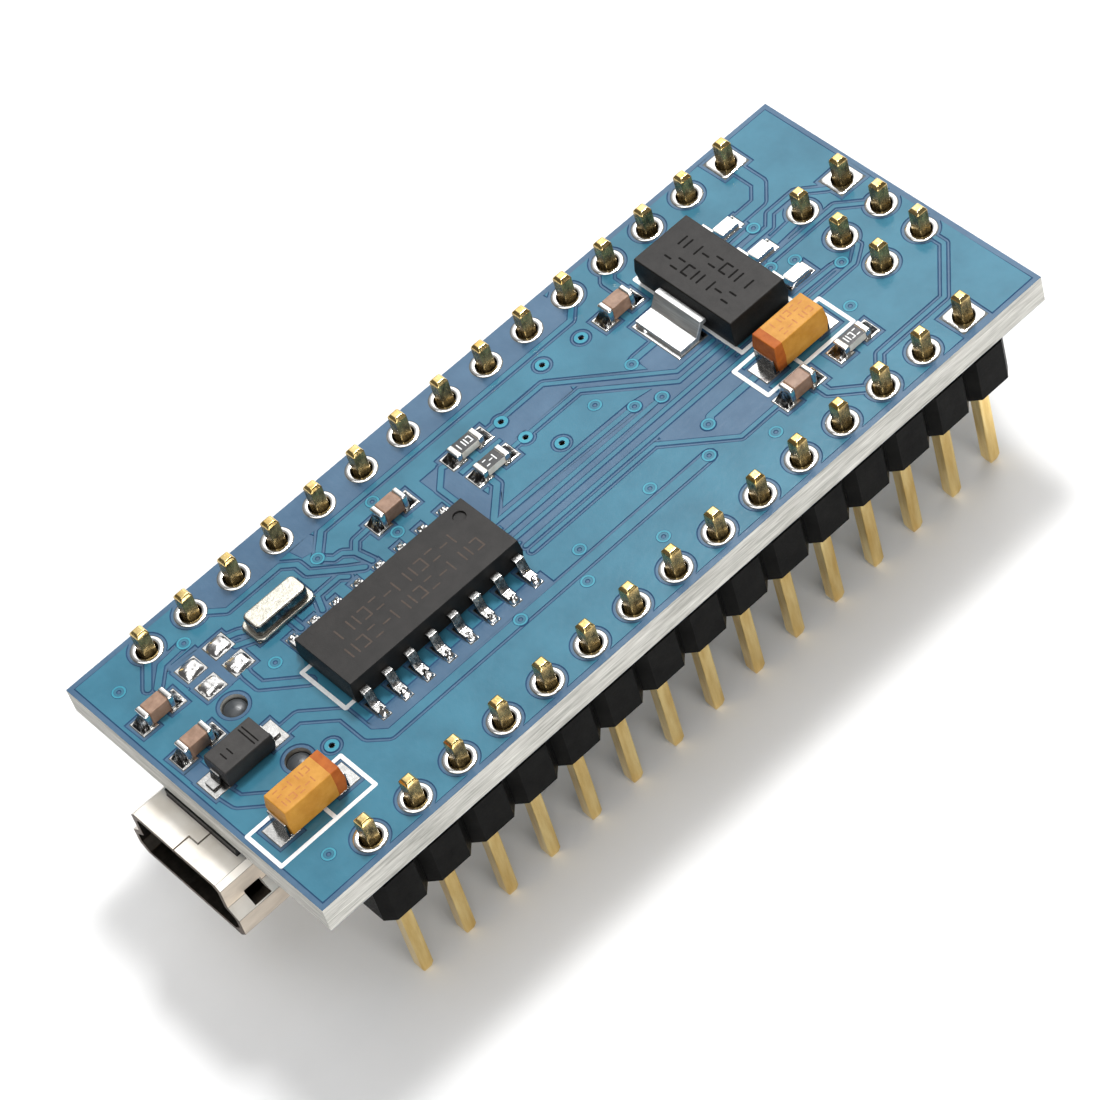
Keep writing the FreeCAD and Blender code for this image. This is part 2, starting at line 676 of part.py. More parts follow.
def usb_contacts():
    """Five spring contacts on the tongue, with solder tails behind the port."""
    body = port_body("usb_contacts")
    side_view = sketch(body, "side_view", "XZ_Plane",
                       offset="contact_pitch*(contact_count - 1)/2")
    back = "port_length + contact_back"
    outline(side_view, [
        ("contact_inset", "contact_level"), (back, "contact_level"),
        (back, "contact_thickness"), (f"{back} + contact_tail", "contact_thickness"),
        (f"{back} + contact_tail", "0"), (f"{back} - contact_thickness", "0"),
        (f"{back} - contact_thickness", "contact_level - contact_thickness"),
        ("contact_inset", "contact_level - contact_thickness"),
    ])
    first = pad(body, side_view, "contact_width", both_ways=True)
    row = ("row", "Y_Axis", "contact_pitch*(contact_count - 1)", "contact_count")
    repeated(body, "contacts", [first], [row])
    return keep(body)


def usb_insulator(contacts):
    """Tongue, floor and back block in one moulding, with two pegs that locate it."""
    body = port_body("insulator_blank")
    floor = sketch(body, "floor")
    floor_length = "(port_length - lip - fit_gap)"
    rectangle(floor, f"lip + fit_gap + {floor_length}/2", "0", floor_length,
              "floor_width - 2*fit_gap")
    pad(body, floor, "floor_height")
    block_shape = sketch(body, "back_block", "YZ_Plane",
                         offset="port_length - shell_wall - back_block")
    outline(block_shape, port_profile("(shell_wall + fit_gap)"))
    pad(body, block_shape, "back_block - fit_gap")
    tongue = sketch(body, "tongue", offset="tongue_low")
    tongue_length = "(port_length - tongue_inset - back_block)"
    rectangle(tongue, f"tongue_inset + {tongue_length}/2", "0", tongue_length, "tongue_width")
    pad(body, tongue, "tongue_high - tongue_low")
    riser = sketch(body, "tongue_root", offset="floor_height/2")
    rectangle(riser, "port_length - back_block - shell_wall + root_length/2 - root_overlap", "0",
              "root_length", "tongue_width")
    pad(body, riser, "tongue_low")
    pegs = sketch(body, "pegs")
    for side in ("peg_y", "-peg_y"):
        circle(pegs, "port_front - peg_x", side, "peg_radius")
    pad(body, pegs, "peg_rise", downward=True)
    return less("usb_insulator", body, contacts)


# ---------------------------------------------------------------- parts with leads

def serial_chip():
    body = keep(on_board("serial_chip_case", "serial_chip"))
    moulding(body, "serial_length", "serial_width", "serial_lift", "serial_height")
    dimple = sketch(body, "first_lead_mark", offset="serial_lift + serial_height")
    circle(dimple, "serial_length/2 - dimple_inset", "serial_width/2 - dimple_inset",
           "dimple_radius")
    pocket(body, dimple, "dimple_depth")

    leads = keep(on_board("serial_chip_leads", "serial_chip"))
    drawing = sketch(leads, "lead", "YZ_Plane", offset="-serial_pitch*(serial_leads - 1)/2")
    outline(drawing, bent_lead("serial_width/2", "lead_shoulder", "serial_reach", "lead_foot",
                               "serial_lift + serial_height/2 - lead_thickness/2",
                               "lead_thickness"))
    first = pad(leads, drawing, "lead_width", both_ways=True)
    row = ("row", "X_Axis", "serial_pitch*(serial_leads - 1)", "serial_leads")
    repeated(leads, "two_rows", [first], [row, ("mirror", "XZ_Plane")])
    serial_lands()


def regulator():
    body = keep(on_board("regulator_case", "regulator"))
    moulding(body, "regulator_length", "regulator_width", "regulator_lift",
             "regulator_height")

    leads = keep(on_board("regulator_leads", "regulator"))
    lead_view = bent_lead("regulator_length/2", "regulator_shoulder", "regulator_reach",
                          "regulator_foot",
                          "regulator_lift + regulator_height/2 - regulator_metal/2",
                          "regulator_metal")
    drawing = sketch(leads, "lead", "XZ_Plane", offset="regulator_pitch")
    outline(drawing, lead_view)
    first = pad(leads, drawing, "regulator_lead", both_ways=True)
    row = ("row", "Y_Axis", "2*regulator_pitch", "3")
    repeated(leads, "three_leads", [first], [row])
    tab = sketch(leads, "tab", "XZ_Plane")
    outline(tab, [(f"-({x})", z) for x, z in lead_view])
    pad(leads, tab, "regulator_tab", both_ways=True)
    regulator_lands()


def controller():
    body = keep(on_board("microcontroller_case", "controller", LOWER, turn=45))
    moulding(body, "controller_side", "controller_side", "controller_lift",
             "controller_height")
    dimple = sketch(body, "first_lead_mark", offset="controller_lift + controller_height")
    circle(dimple, "-controller_side/2 + dimple_inset", "-controller_side/2 + dimple_inset",
           "dimple_radius")
    pocket(body, dimple, "dimple_depth")

    leads = keep(on_board("microcontroller_leads", "controller", LOWER, turn=45))
    drawing = sketch(leads, "lead", "XZ_Plane",
                     offset="controller_pitch*(controller_leads - 1)/2")
    outline(drawing, bent_lead("controller_side/2", "controller_shoulder", "controller_reach",
                               "controller_foot",
                               "controller_lift + controller_height/2 - controller_metal/2",
                               "controller_metal"))
    first = pad(leads, drawing, "controller_lead_width", both_ways=True)
    row = ("row", "Y_Axis", "controller_pitch*(controller_leads - 1)", "controller_leads")
    repeated(leads, "four_sides", [first], [row, ("turn", "Z_Axis", "4")])
    controller_lands()


def diode():
    body = keep(on_board("diode_case", "diode"))
    moulding(body, "diode_length", "diode_width", "diode_lift", "diode_height")

    leads = keep(on_board("diode_leads", "diode"))
    drawing = sketch(leads, "lead", "XZ_Plane")
    outline(drawing, bent_lead("diode_length/2", "diode_shoulder", "diode_reach", "diode_foot",
                               "diode_lift + diode_height/2 - diode_metal/2", "diode_metal"))
    first = pad(leads, drawing, "diode_lead", both_ways=True)
    repeated(leads, "both_ends", [first], [("mirror", "YZ_Plane")])
    end_lands("diode", "diode", UPPER)


def tantalum_capacitors():
    cases, terminals = [], []
    for component in TANTALUMS:
        body = on_board(f"{component}_case", component)
        moulding(body, "tantalum_length", "tantalum_width", "tantalum_metal",
                 "tantalum_height")
        cases.append(body)
        metal = on_board(f"{component}_terminals", component)
        drawing = sketch(metal, "folded_strip", "XZ_Plane")
        end = "tantalum_length/2"
        outline(drawing, [
            (f"{end} - tantalum_foot", "0"), (f"{end} + tantalum_metal", "0"),
            (f"{end} + tantalum_metal", "tantalum_height/2 + tantalum_metal"),
            (end, "tantalum_height/2 + tantalum_metal"), (end, "tantalum_metal"),
            (f"{end} - tantalum_foot", "tantalum_metal"),
        ])
        first = pad(metal, drawing, "tantalum_lead", both_ways=True)
        repeated(metal, "both_ends", [first], [("mirror", "YZ_Plane")])
        terminals.append(metal)
        end_lands(component, "tantalum", UPPER)
    group("tantalum_capacitor_cases", cases)
    group("tantalum_capacitor_terminals", terminals)


def crystal():
    """A quartz crystal in a drawn metal can on a metal-rimmed base."""
    base = keep(on_board("crystal_base", "crystal"))
    rim = sketch(base, "rim")
    rectangle(rim, "0", "0", "crystal_length", "crystal_width")
    plate = pad(base, rim, "crystal_base")
    rounded(base, plate, "crystal_corner", is_upright)

    can = keep(on_board("crystal_can", "crystal"))
    wall = sketch(can, "wall", offset="crystal_base")
    rectangle(wall, "0", "0", "can_length", "can_width")
    shape = pad(can, wall, "can_height")
    round_corners = rounded(can, shape, "can_corner", is_upright)
    doc.recompute()
    rounded(can, round_corners, "can_round", is_on_top_of(round_corners.Shape), "soft_top")
    end_lands("crystal", "crystal", UPPER)


# ---------------------------------------------------------------- small chips

def fillets(component, face, rise):
    """Solder that climbs both ends of a small chip."""
    body = on_board(f"{component}_solder", component, face)
    drawing = sketch(body, "wedge", "XZ_Plane")
    outline(drawing, [("chip_length/2", "0"), ("fillet_reach", "0"),
                      ("fillet_reach", "fillet_toe"), ("chip_length/2", rise)])
    first = pad(body, drawing, "chip_width", both_ways=True)
    repeated(body, "both_ends", [first], [("mirror", "YZ_Plane")])
    return body


def chip(component, face, height):
    """The body, the metal ends and the lands of a part with a metal cap at each end."""
    x, y = f"{component}_x", f"{component}_y"
    core = block(f"{component}_core", x, y, "(chip_length - 2*chip_end)",
                 "(chip_width - 2*core_inset)", f"({height} - 2*core_inset)", "core_inset", face)
    ends = [
        block(f"{component}_{end}_end", f"{x} {sign} (chip_length - chip_end)/2", y, "chip_end",
              "chip_width", height, "0", face)
        for end, sign in (("low", "-"), ("high", "+"))
    ]
    end_lands(component, "chip", face)
    return core, ends


def small_chips(name, components, face, height, rise):
    cores, ends, solder = [], [], []
    for component in components:
        core, both_ends = chip(component, face, height)
        cores.append(core)
        ends += both_ends
        solder.append(fillets(component, face, rise))
    group(f"{name}_bodies", cores)
    group(f"{name}_ends", ends)
    return solder


def lamps():
    """Four indicator lamps: a base with metal ends and a clear lens on it."""
    bases, lenses, ends, solder = [], [], [], []
    for component in LAMPS:
        base, both_ends = chip(component, LOWER, "lamp_base")
        bases.append(base)
        ends += both_ends
        lenses.append(block(f"{component}_lens", f"{component}_x", f"{component}_y",
                            "lens_length", "lens_width", "lamp_lens", "lamp_base", LOWER))
        solder.append(fillets(component, LOWER, "lamp_fillet_rise"))
    group("indicator_lamp_bases", bases)
    group("indicator_lamp_lenses", lenses)
    group("indicator_lamp_ends", ends)
    return solder


def resistor_arrays():
    bodies, metals = [], []
    for component in ARRAYS:
        bodies.append(block(f"{component}_core", f"{component}_x", f"{component}_y",
                            "array_length", "(array_width - 2*array_metal)", "array_height",
                            "0", LOWER))
        for side, sign in (("near", "-"), ("far", "+")):
            y = f"{component}_y {sign} (array_width - array_metal)/2"
            for number in range(4):
                x = f"{component}_x + array_pitch*({number} - 1.5)"
                metals.append(block(f"{component}_{side}_end_{number}", x, y, "array_lead",
                                    "array_metal", "array_height", "0", LOWER))
        array_lands(component)
    group("resistor_array_bodies", bodies)
    group("resistor_array_ends", metals)


def resonator():
    """A ceramic resonator with three metal bands across its underside and sides."""
    core = block("resonator_body", "resonator_x", "resonator_y", "resonator_length",
                 "(resonator_width - 2*resonator_metal)", "(resonator_height)",
                 "resonator_metal", LOWER)
    keep(core)
    bands = []
    for number in (-1, 0, 1):
        x = f"resonator_x + {number}*resonator_pitch"
        bands.append(block(f"resonator_underside_{number + 1}", x, "resonator_y",
                           "resonator_band", "(resonator_width - 2*resonator_metal)",
                           "resonator_metal", "0", LOWER))
        for side, sign in (("near", "-"), ("far", "+")):
            y = f"resonator_y {sign} (resonator_width - resonator_metal)/2"
            bands.append(block(f"resonator_{side}_band_{number + 1}", x, y, "resonator_band",
                               "resonator_metal", "resonator_side_band", "0", LOWER))
    group("resonator_terminals", bands)
    resonator_lands()


def solder_bumps():
    """Four bare lands with a dome of solder on each."""
    body = keep(on_board("solder_bumps", "bumps"))
    drawing = sketch(body, "bump")
    rectangle(drawing, "-bump_spacing_x/2", "-bump_spacing_y/2", "bump_length", "bump_width")
    first = pad(body, drawing, "bump_height")
    doc.recompute()
    soft = rounded(body, first, "bump_round", is_on_top_of(first.Shape))
    columns = ("row", "X_Axis", "bump_spacing_x", "2")
    rows = ("row", "Y_Axis", "bump_spacing_y", "2")
    repeated(body, "four_bumps", [first, soft], [columns, rows])
    for column, sign in (("west", "-"), ("east", "+")):
        for line, other in (("south", "-"), ("north", "+")):
            land(f"{line}_{column}_bump_land", f"bumps_x {sign} bump_spacing_x/2",
                 f"bumps_y {other} bump_spacing_y/2", "bump_length", "bump_width", UPPER)


# ---------------------------------------------------------------- reset button

def reset_button():
    """A push button: case, snap dome, plunger, metal cover and four leads."""
    case = keep(on_board("reset_button_case", "button", LOWER))
    drawing = sketch(case, "outline")
    rectangle(drawing, "0", "0", "button_width", "button_length")
    pad(case, drawing, "button_height")
    well = sketch(case, "well", offset="button_height")
    circle(well, "0", "0", "button_well")
    pocket(case, well, "button_height - button_floor")

    dome = keep(on_board("reset_button_dome", "button", LOWER))
    section = sketch(dome, "section", "XZ_Plane")
    outline(section, [
        ("0", "button_floor + dome_rise - dome_metal"),
        ("dome_radius/2", "button_floor + dome_shoulder - dome_metal"),
        ("dome_radius - dome_metal", "button_floor"),
        ("dome_radius", "button_floor"),
        ("dome_radius/2", "button_floor + dome_shoulder"),
        ("0", "button_floor + dome_rise"),
    ])
    spun(dome, section)

    plunger = keep(on_board("reset_button_plunger", "button", LOWER))
    section = sketch(plunger, "section", "XZ_Plane")
    outline(section, [
        ("0", "flange_top - flange_height"), ("flange_radius", "flange_top - flange_height"),
        ("flange_radius", "flange_top"), ("plunger_radius", "flange_top"),
        ("plunger_radius", "plunger_top - plunger_chamfer"),
        ("plunger_radius - plunger_chamfer", "plunger_top"),
        ("0", "plunger_top"),
    ])
    spun(plunger, section)

    cover = keep(on_board("reset_button_cover", "button", LOWER))
    plate = sketch(cover, "plate", offset="button_height")
    rectangle(plate, "0", "0", "button_width", "button_length")
    circle(plate, "0", "0", "cover_hole")
    pad(cover, plate, "button_cover")
    skirt = sketch(cover, "skirt", offset="button_height + button_cover")
    rectangle(skirt, "button_width/2 + button_cover/2", "0", "button_cover", "cover_skirt")
    side = pad(cover, skirt, "skirt_drop", downward=True)
    repeated(cover, "both_sides", [side], [("mirror", "YZ_Plane")])

    leads = keep(on_board("reset_button_leads", "button", LOWER))
    drawing = sketch(leads, "lead", "YZ_Plane", offset="-button_lead_pitch/2")
    outline(drawing, bent_lead("button_length/2", "button_shoulder", "button_reach",
                               "button_foot", "button_floor", "button_metal"))
    first = pad(leads, drawing, "button_lead", both_ways=True)
    row = ("row", "X_Axis", "button_lead_pitch", "2")
    repeated(leads, "four_leads", [first], [row, ("mirror", "XZ_Plane")])
    button_lands()


def spun(body, section):
    turned = body.newObject("PartDesign::Revolution", f"{section.Name}_turned")
    turned.Profile = section
    turned.ReferenceAxis = (origin_part(body, "Z_Axis"), [""])
    turned.Angle = 360
    return turned


# ---------------------------------------------------------------- the whole board

circuit_board()
plated_holes()
headers()
usb_shell()
usb_insulator(usb_contacts())
serial_chip()
regulator()
diode()
tantalum_capacitors()
crystal()
solder_bumps()
upper_solder = small_chips("upper_capacitor", UPPER_CAPACITORS, UPPER, "capacitor_height",
                           "fillet_rise")
upper_solder += small_chips("upper_resistor", UPPER_RESISTORS, UPPER, "resistor_height",
                            "low_fillet_rise")
controller()
reset_button()
resonator()
resistor_arrays()
lower_solder = lamps()
lower_solder += small_chips("lower_capacitor", LOWER_CAPACITORS, LOWER, "capacitor_height",
                            "fillet_rise")
lower_solder += small_chips("lower_resistor", LOWER_RESISTORS, LOWER, "resistor_height",
                            "low_fillet_rise")
tab_foot_lands()
contact_lands()
group("solder_fillets_upper", upper_solder)
group("solder_fillets_lower", lower_solder)
for face, level in ((UPPER, f"{LEVEL[UPPER]} - layer"), (LOWER, LEVEL[LOWER])):
    all_lands = group(f"solder_lands_{face}", lands[face])
    less(f"solder_mask_{face}", mask_sheet(f"mask_sheet_{face}", level), all_lands)
doc.recompute()

for thing in doc.Objects:
    if {"Invalid", "Error"} & set(thing.State):
        raise RuntimeError(f"{thing.Label} failed: {thing.State}")
os.makedirs("parts", exist_ok=True)
for thing in sub_parts:
    if thing.Shape.isNull() or not thing.Shape.isValid():
        raise RuntimeError(f"{thing.Label} has no valid shape")
    thing.Shape.exportStep(f"parts/{thing.Label}.step")
    size = thing.Shape.BoundBox
    print(f"{thing.Label:32} {len(thing.Shape.Solids):3} solids  {thing.Shape.Volume:9.3f} mm3  "
          f"z {size.ZMin:6.2f} to {size.ZMax:6.2f}")
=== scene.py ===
import math

import bmesh
import bpy
import numpy as np
from mathutils import Matrix, Vector, noise
from mathutils.geometry import convex_hull_2d, delaunay_2d_cdt


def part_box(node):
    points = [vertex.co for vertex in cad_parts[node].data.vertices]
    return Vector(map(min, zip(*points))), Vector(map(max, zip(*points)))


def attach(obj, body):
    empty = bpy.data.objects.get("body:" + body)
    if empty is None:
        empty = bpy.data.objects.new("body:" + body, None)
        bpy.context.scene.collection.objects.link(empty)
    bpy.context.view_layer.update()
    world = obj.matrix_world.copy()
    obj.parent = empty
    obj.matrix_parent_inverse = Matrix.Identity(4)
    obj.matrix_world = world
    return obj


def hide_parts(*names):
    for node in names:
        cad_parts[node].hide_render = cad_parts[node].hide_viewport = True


# The looks of a small microcontroller development board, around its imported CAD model.
# Meshes are worked out in millimetres and turned into metres when a piece is made.

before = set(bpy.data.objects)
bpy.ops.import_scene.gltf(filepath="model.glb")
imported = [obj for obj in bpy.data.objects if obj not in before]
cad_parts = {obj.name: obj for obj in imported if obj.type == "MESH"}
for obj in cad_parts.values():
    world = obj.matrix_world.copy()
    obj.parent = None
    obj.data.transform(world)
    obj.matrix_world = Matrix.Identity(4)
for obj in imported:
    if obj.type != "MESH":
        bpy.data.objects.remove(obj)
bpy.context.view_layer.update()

MM = 0.001
BOARD, PLUNGER = "board", "plunger"


# ---------------------------------------------------------------- materials

class Paint:
    """A node material: its Principled shader, and short ways to drive it with textures."""

    def __init__(self, name, **sockets):
        self.material = bpy.data.materials.new(name)
        self.material.use_nodes = True
        self.tree = self.material.node_tree
        self.shader = self.tree.nodes["Principled BSDF"]
        for socket, value in sockets.items():
            self.shader.inputs[socket.replace("_", " ")].default_value = value
        self.place = self.add("ShaderNodeTexCoord").outputs["Object"]

    def add(self, kind, inputs=(), **settings):
        node = self.tree.nodes.new(kind)
        for setting, value in settings.items():
            setattr(node, setting, value)
        for socket, value in dict(inputs).items():
            if isinstance(value, bpy.types.NodeSocket):
                self.tree.links.new(value, node.inputs[socket])
            else:
                node.inputs[socket].default_value = value
        return node

    def drive(self, socket, output):
        self.tree.links.new(output, self.shader.inputs[socket])

    def spots(self, size, stretch=(1, 1, 1), detail=4.0):
        """Noise whose spots are about this size in millimetres, stretched along the axes."""
        scale = [1 / (size * MM * s) for s in stretch]
        spread = self.add("ShaderNodeMapping", {"Vector": self.place, "Scale": scale})
        texture = self.add("ShaderNodeTexNoise", {
            "Vector": spread.outputs[0], "Scale": 1.0, "Detail": detail, "Roughness": 0.6,
        })
        return texture.outputs["Fac"]

    def ramp(self, amount, stops):
        """A colour for each amount, from (position, colour) stops."""
        node = self.add("ShaderNodeValToRGB", {"Fac": amount})
        elements = node.color_ramp.elements
        while len(elements) < len(stops):
            elements.new(0.5)
        for element, (position, colour) in zip(elements, stops):
            element.position = position
            element.color = (*colour, 1)
        return node.outputs["Color"]

    def between(self, amount, low, high):
        """An amount of noise, stretched to run from low to high."""
        node = self.add("ShaderNodeMapRange", {
            "Value": amount, "From Min": 0.3, "From Max": 0.7, "To Min": low, "To Max": high,
        })
        return node.outputs["Result"]

    def relief(self, *heights):
        """Bumps from (amount, depth in millimetres) pairs, one on top of the other."""
        normal = None
        for amount, depth in heights:
            inputs = {"Height": amount, "Distance": depth * MM, "Strength": 1.0}
            if normal is not None:
                inputs["Normal"] = normal
            normal = self.add("ShaderNodeBump", inputs).outputs["Normal"]
        self.drive("Normal", normal)


def shades(dark, light, middle=None):
    """Ramp stops from a dark to a light shade."""
    middle = middle or [(d + l) / 2 for d, l in zip(dark, light)]
    return [(0.3, dark), (0.5, middle), (0.7, light)]


def finish(name, dark, light, rough, size=0.6, stretch=(1, 1, 1), fine=0.08, depth=0.002,
           lumps=0.0, middle=None, **sockets):
    """A surface with cloudy colour, uneven gloss, fine grain and soft lumps."""
    paint = Paint(name, **sockets)
    clouds = paint.spots(size, stretch)
    grain = paint.spots(fine, stretch, detail=2.0)
    paint.drive("Base Color", paint.ramp(clouds, shades(dark, light, middle)))
    paint.drive("Roughness", paint.between(grain, *rough))
    paint.relief((grain, depth), (clouds, lumps))
    return paint.material


def solder_mask(name, dark, light, weave, gloss=0.5, rough=(0.12, 0.2)):
    """Glossy varnish with an uneven skin; where it lies on bare laminate the weave shows."""
    paint = Paint(name, Specular_IOR_Level=gloss)
    clouds = paint.spots(2.2, detail=3.0)
    skin = paint.spots(0.35, detail=2.0)
    dust = paint.spots(0.05, detail=1.0)
    paint.drive("Base Color", paint.ramp(clouds, shades(dark, light)))
    paint.drive("Roughness", paint.between(dust, *rough))
    warp = paint.spots(0.24, stretch=(6, 1, 1), detail=1.0)
    weft = paint.spots(0.24, stretch=(1, 6, 1), detail=1.0)
    paint.relief((skin, 0.006), (warp, weave), (weft, weave))
    return paint.material


def metal(name, dark, light, rough, metallic=1.0, **settings):
    return finish(name, dark, light, rough, Metallic=metallic, **settings)


def fibreglass_edge():
    """Cut laminate: pale resin with layers of glass cloth that run along the board."""
    paint = Paint("fibreglass_layers")
    layers = paint.spots(0.07, stretch=(30, 30, 1), detail=3.0)
    chips = paint.spots(0.5, stretch=(5, 5, 0.6))
    streaks = paint.add("ShaderNodeMath", {0: layers, 1: chips}, operation="MULTIPLY")
    paint.drive("Base Color", paint.ramp(streaks.outputs[0], [
        (0.12, (0.28, 0.28, 0.25)), (0.25, (0.52, 0.51, 0.47)), (0.42, (0.72, 0.71, 0.66)),
    ]))
    paint.drive("Roughness", paint.between(chips, 0.55, 0.85))
    paint.relief((layers, 0.03), (chips, 0.02))
    return paint.material


def clear_lens():
    paint = Paint("lamp_lens", Transmission_Weight=0.75, IOR=1.5, Coat_Weight=0.3)
    clouds = paint.spots(0.5)
    paint.drive("Base Color", paint.ramp(clouds, shades((0.82, 0.80, 0.66), (0.93, 0.92, 0.84))))
    paint.drive("Roughness", paint.between(clouds, 0.12, 0.3))
    paint.relief((clouds, 0.01))
    return paint.material


def marking_film(name, dark, light):
    """The black glaze on a resistor, or its pale alumina."""
    return finish(name, dark, light, (0.3, 0.5), size=0.3, fine=0.05, depth=0.003)


MASK_ON_COPPER = solder_mask("mask_on_copper", (0.033, 0.148, 0.220), (0.046, 0.188, 0.272), 0.0)
MASK_ON_LAMINATE = solder_mask("mask_on_laminate", (0.050, 0.110, 0.190), (0.072, 0.146, 0.236),
                               0.004)
# painted shade: the sloped walls where the varnish steps between levels are painted dark, standing
# in for the shadow line along every copper edge
MASK_STEP_PAINTED_SHADE = solder_mask("mask_at_copper_edge_painted_shade", (0.022, 0.060, 0.130), (0.034, 0.085, 0.165),
                           0.0, 0.06, (0.5, 0.65))
MASK_ON_VIA = solder_mask("mask_on_via_ring", (0.040, 0.25, 0.34), (0.06, 0.31, 0.40), 0.0, 0.2,
                          (0.3, 0.45))
LAMINATE_FACE = finish("laminate_face", (0.06, 0.07, 0.07), (0.12, 0.13, 0.12), (0.5, 0.7))
LAMINATE = fibreglass_edge()
TIN_PAD = metal("tin_pad", (0.76, 0.75, 0.72), (0.95, 0.94, 0.92), (0.1, 0.22), lumps=0.012,
                depth=0.0006)
SOLDER = metal("solder", (0.62, 0.61, 0.60), (0.86, 0.85, 0.83), (0.07, 0.16), size=0.35,
               lumps=0.03, depth=0.0006)
# painted reflection: the fillet solder is mottled near-black with bright flecks, painting dark
# surroundings and glints mirrored in it
SOLDER_PAINTED_REFLECTION = metal("solder_painted_reflection", (0.03, 0.03, 0.03), (0.85, 0.84, 0.82), (0.08, 0.2), size=0.3,
               lumps=0.05, depth=0.0006, middle=(0.09, 0.085, 0.08))
# painted shade: the steep faces of leads, terminals and the crystal can are painted dark
TIN_PAINTED_SHADE = metal("tin_painted_shade", (0.07, 0.07, 0.068), (0.42, 0.41, 0.40), (0.16, 0.3), size=0.25,
                 lumps=0.006, middle=(0.15, 0.145, 0.14))
TIN_LEAD = metal("tin_lead", (0.70, 0.69, 0.67), (0.92, 0.91, 0.89), (0.14, 0.26), size=0.4,
                 lumps=0.004, depth=0.0006)
GOLD = metal("gold", (0.70, 0.46, 0.14), (1.0, 0.80, 0.38), (0.1, 0.22), size=0.5,
             stretch=(1, 1, 7), lumps=0.006, depth=0.0012)
# painted shade and painted reflection: the sides of the pins above the board are painted dark olive
# gold
GOLD_PAINTED_SHADE = metal("gold_side_painted_shade", (0.10, 0.07, 0.028), (0.70, 0.50, 0.20), (0.14, 0.3), size=0.3,
                  metallic=0.78, stretch=(1, 1, 2), lumps=0.006, depth=0.0012)
BRUSHED_TIN = metal("brushed_tin", (0.38, 0.38, 0.38), (0.80, 0.80, 0.79), (0.42, 0.56),
                    size=0.22, stretch=(1, 12, 1), lumps=0.004)
NICKEL = metal("nickel", (0.82, 0.76, 0.67), (0.94, 0.90, 0.83), (0.3, 0.4), metallic=0.6,
               size=1.6, fine=0.5, lumps=0.002, depth=0.0002)
# painted shade: the port's flanks are painted darker and browner than its broad faces
NICKEL_FLANK_PAINTED_SHADE = metal("nickel_flank_painted_shade", (0.52, 0.44, 0.36), (0.80, 0.71, 0.60), (0.3, 0.42),
                     metallic=0.6, size=0.8, fine=0.4, stretch=(4, 1, 1), lumps=0.002,
                     depth=0.0002)
# painted shade: the port's rounded edges and mouth rim are painted dark brown as shade lines
EDGE_PAINTED_SHADE = metal("edge_painted_shade", (0.028, 0.018, 0.012), (0.12, 0.082, 0.056), (0.4, 0.55),
                size=0.5)
# painted shade: the inside of the port's plated shell is painted near-black
PORT_INSIDE_PAINTED_SHADE = metal("port_inside_painted_shade", (0.030, 0.026, 0.022), (0.075, 0.065, 0.055), (0.3, 0.5))
CAN = metal("crystal_metal", (0.44, 0.42, 0.36), (0.62, 0.60, 0.53), (0.28, 0.42), size=0.3,
            lumps=0.012, depth=0.0012)
STEEL = metal("stainless_sheet", (0.56, 0.56, 0.55), (0.80, 0.80, 0.79), (0.22, 0.38),
              stretch=(1, 7, 1), lumps=0.003)
RESIN = finish("chip_resin", (0.012, 0.0105, 0.0095), (0.021, 0.0185, 0.017), (0.38, 0.54),
               size=0.7, fine=0.06, depth=0.004, Specular_IOR_Level=0.24)
# painted shade: the steep sides of the serial chip and regulator cases are painted darker than
# their tops
RESIN_SIDE_PAINTED_SHADE = finish("chip_resin_side_painted_shade", (0.005, 0.0045, 0.004), (0.010, 0.009, 0.008), (0.4, 0.56),
                    size=0.5, fine=0.06, depth=0.004, Specular_IOR_Level=0.2)
DIODE_RESIN = finish("diode_resin", (0.024, 0.022, 0.0205), (0.038, 0.035, 0.033), (0.38, 0.54),
                     size=0.5, fine=0.06, depth=0.004, Specular_IOR_Level=0.3)
ETCH = finish("etched_resin", (0.042, 0.028, 0.019), (0.068, 0.044, 0.030), (0.6, 0.8), size=0.15)
ENGRAVED = finish("engraved_resin", (0.006, 0.006, 0.006), (0.014, 0.013, 0.012), (0.8, 0.95),
                  size=0.15, Specular_IOR_Level=0.05)
PRINT = finish("brown_print", (0.40, 0.13, 0.018), (0.52, 0.19, 0.03), (0.5, 0.7), size=0.15)
PLASTIC = finish("moulded_plastic", (0.003, 0.003, 0.003), (0.0075, 0.0075, 0.007),
                 (0.34, 0.5), size=1.1, fine=0.12, depth=0.003, lumps=0.01,
                 Specular_IOR_Level=0.035)
PORT_PLASTIC = finish("port_plastic", (0.006, 0.006, 0.006), (0.013, 0.013, 0.013),
                      (0.3, 0.46), size=0.9, fine=0.1, depth=0.003, Specular_IOR_Level=0.3)
PEG_PLASTIC = finish("peg_plastic", (0.035, 0.04, 0.045), (0.06, 0.065, 0.07), (0.3, 0.42),
                     size=0.5)
ORANGE = finish("orange_resin", (0.47, 0.195, 0.016), (0.60, 0.29, 0.040), (0.4, 0.56),
                size=0.7, fine=0.07, depth=0.005, Specular_IOR_Level=0.3)
BAND = finish("polarity_band", (0.34, 0.075, 0.008), (0.45, 0.12, 0.016), (0.45, 0.6),
              size=0.4, Specular_IOR_Level=0.2)
TAN = finish("tan_ceramic", (0.21, 0.115, 0.067), (0.34, 0.205, 0.135), (0.34, 0.5), size=0.35,
             fine=0.05, depth=0.004)
BROWN = finish("brown_ceramic", (0.17, 0.085, 0.045), (0.26, 0.14, 0.08), (0.4, 0.55), size=0.4)
GLAZE = marking_film("resistor_glaze", (0.014, 0.014, 0.015), (0.03, 0.03, 0.031))
ALUMINA = marking_film("resistor_alumina", (0.60, 0.56, 0.48), (0.78, 0.75, 0.68))
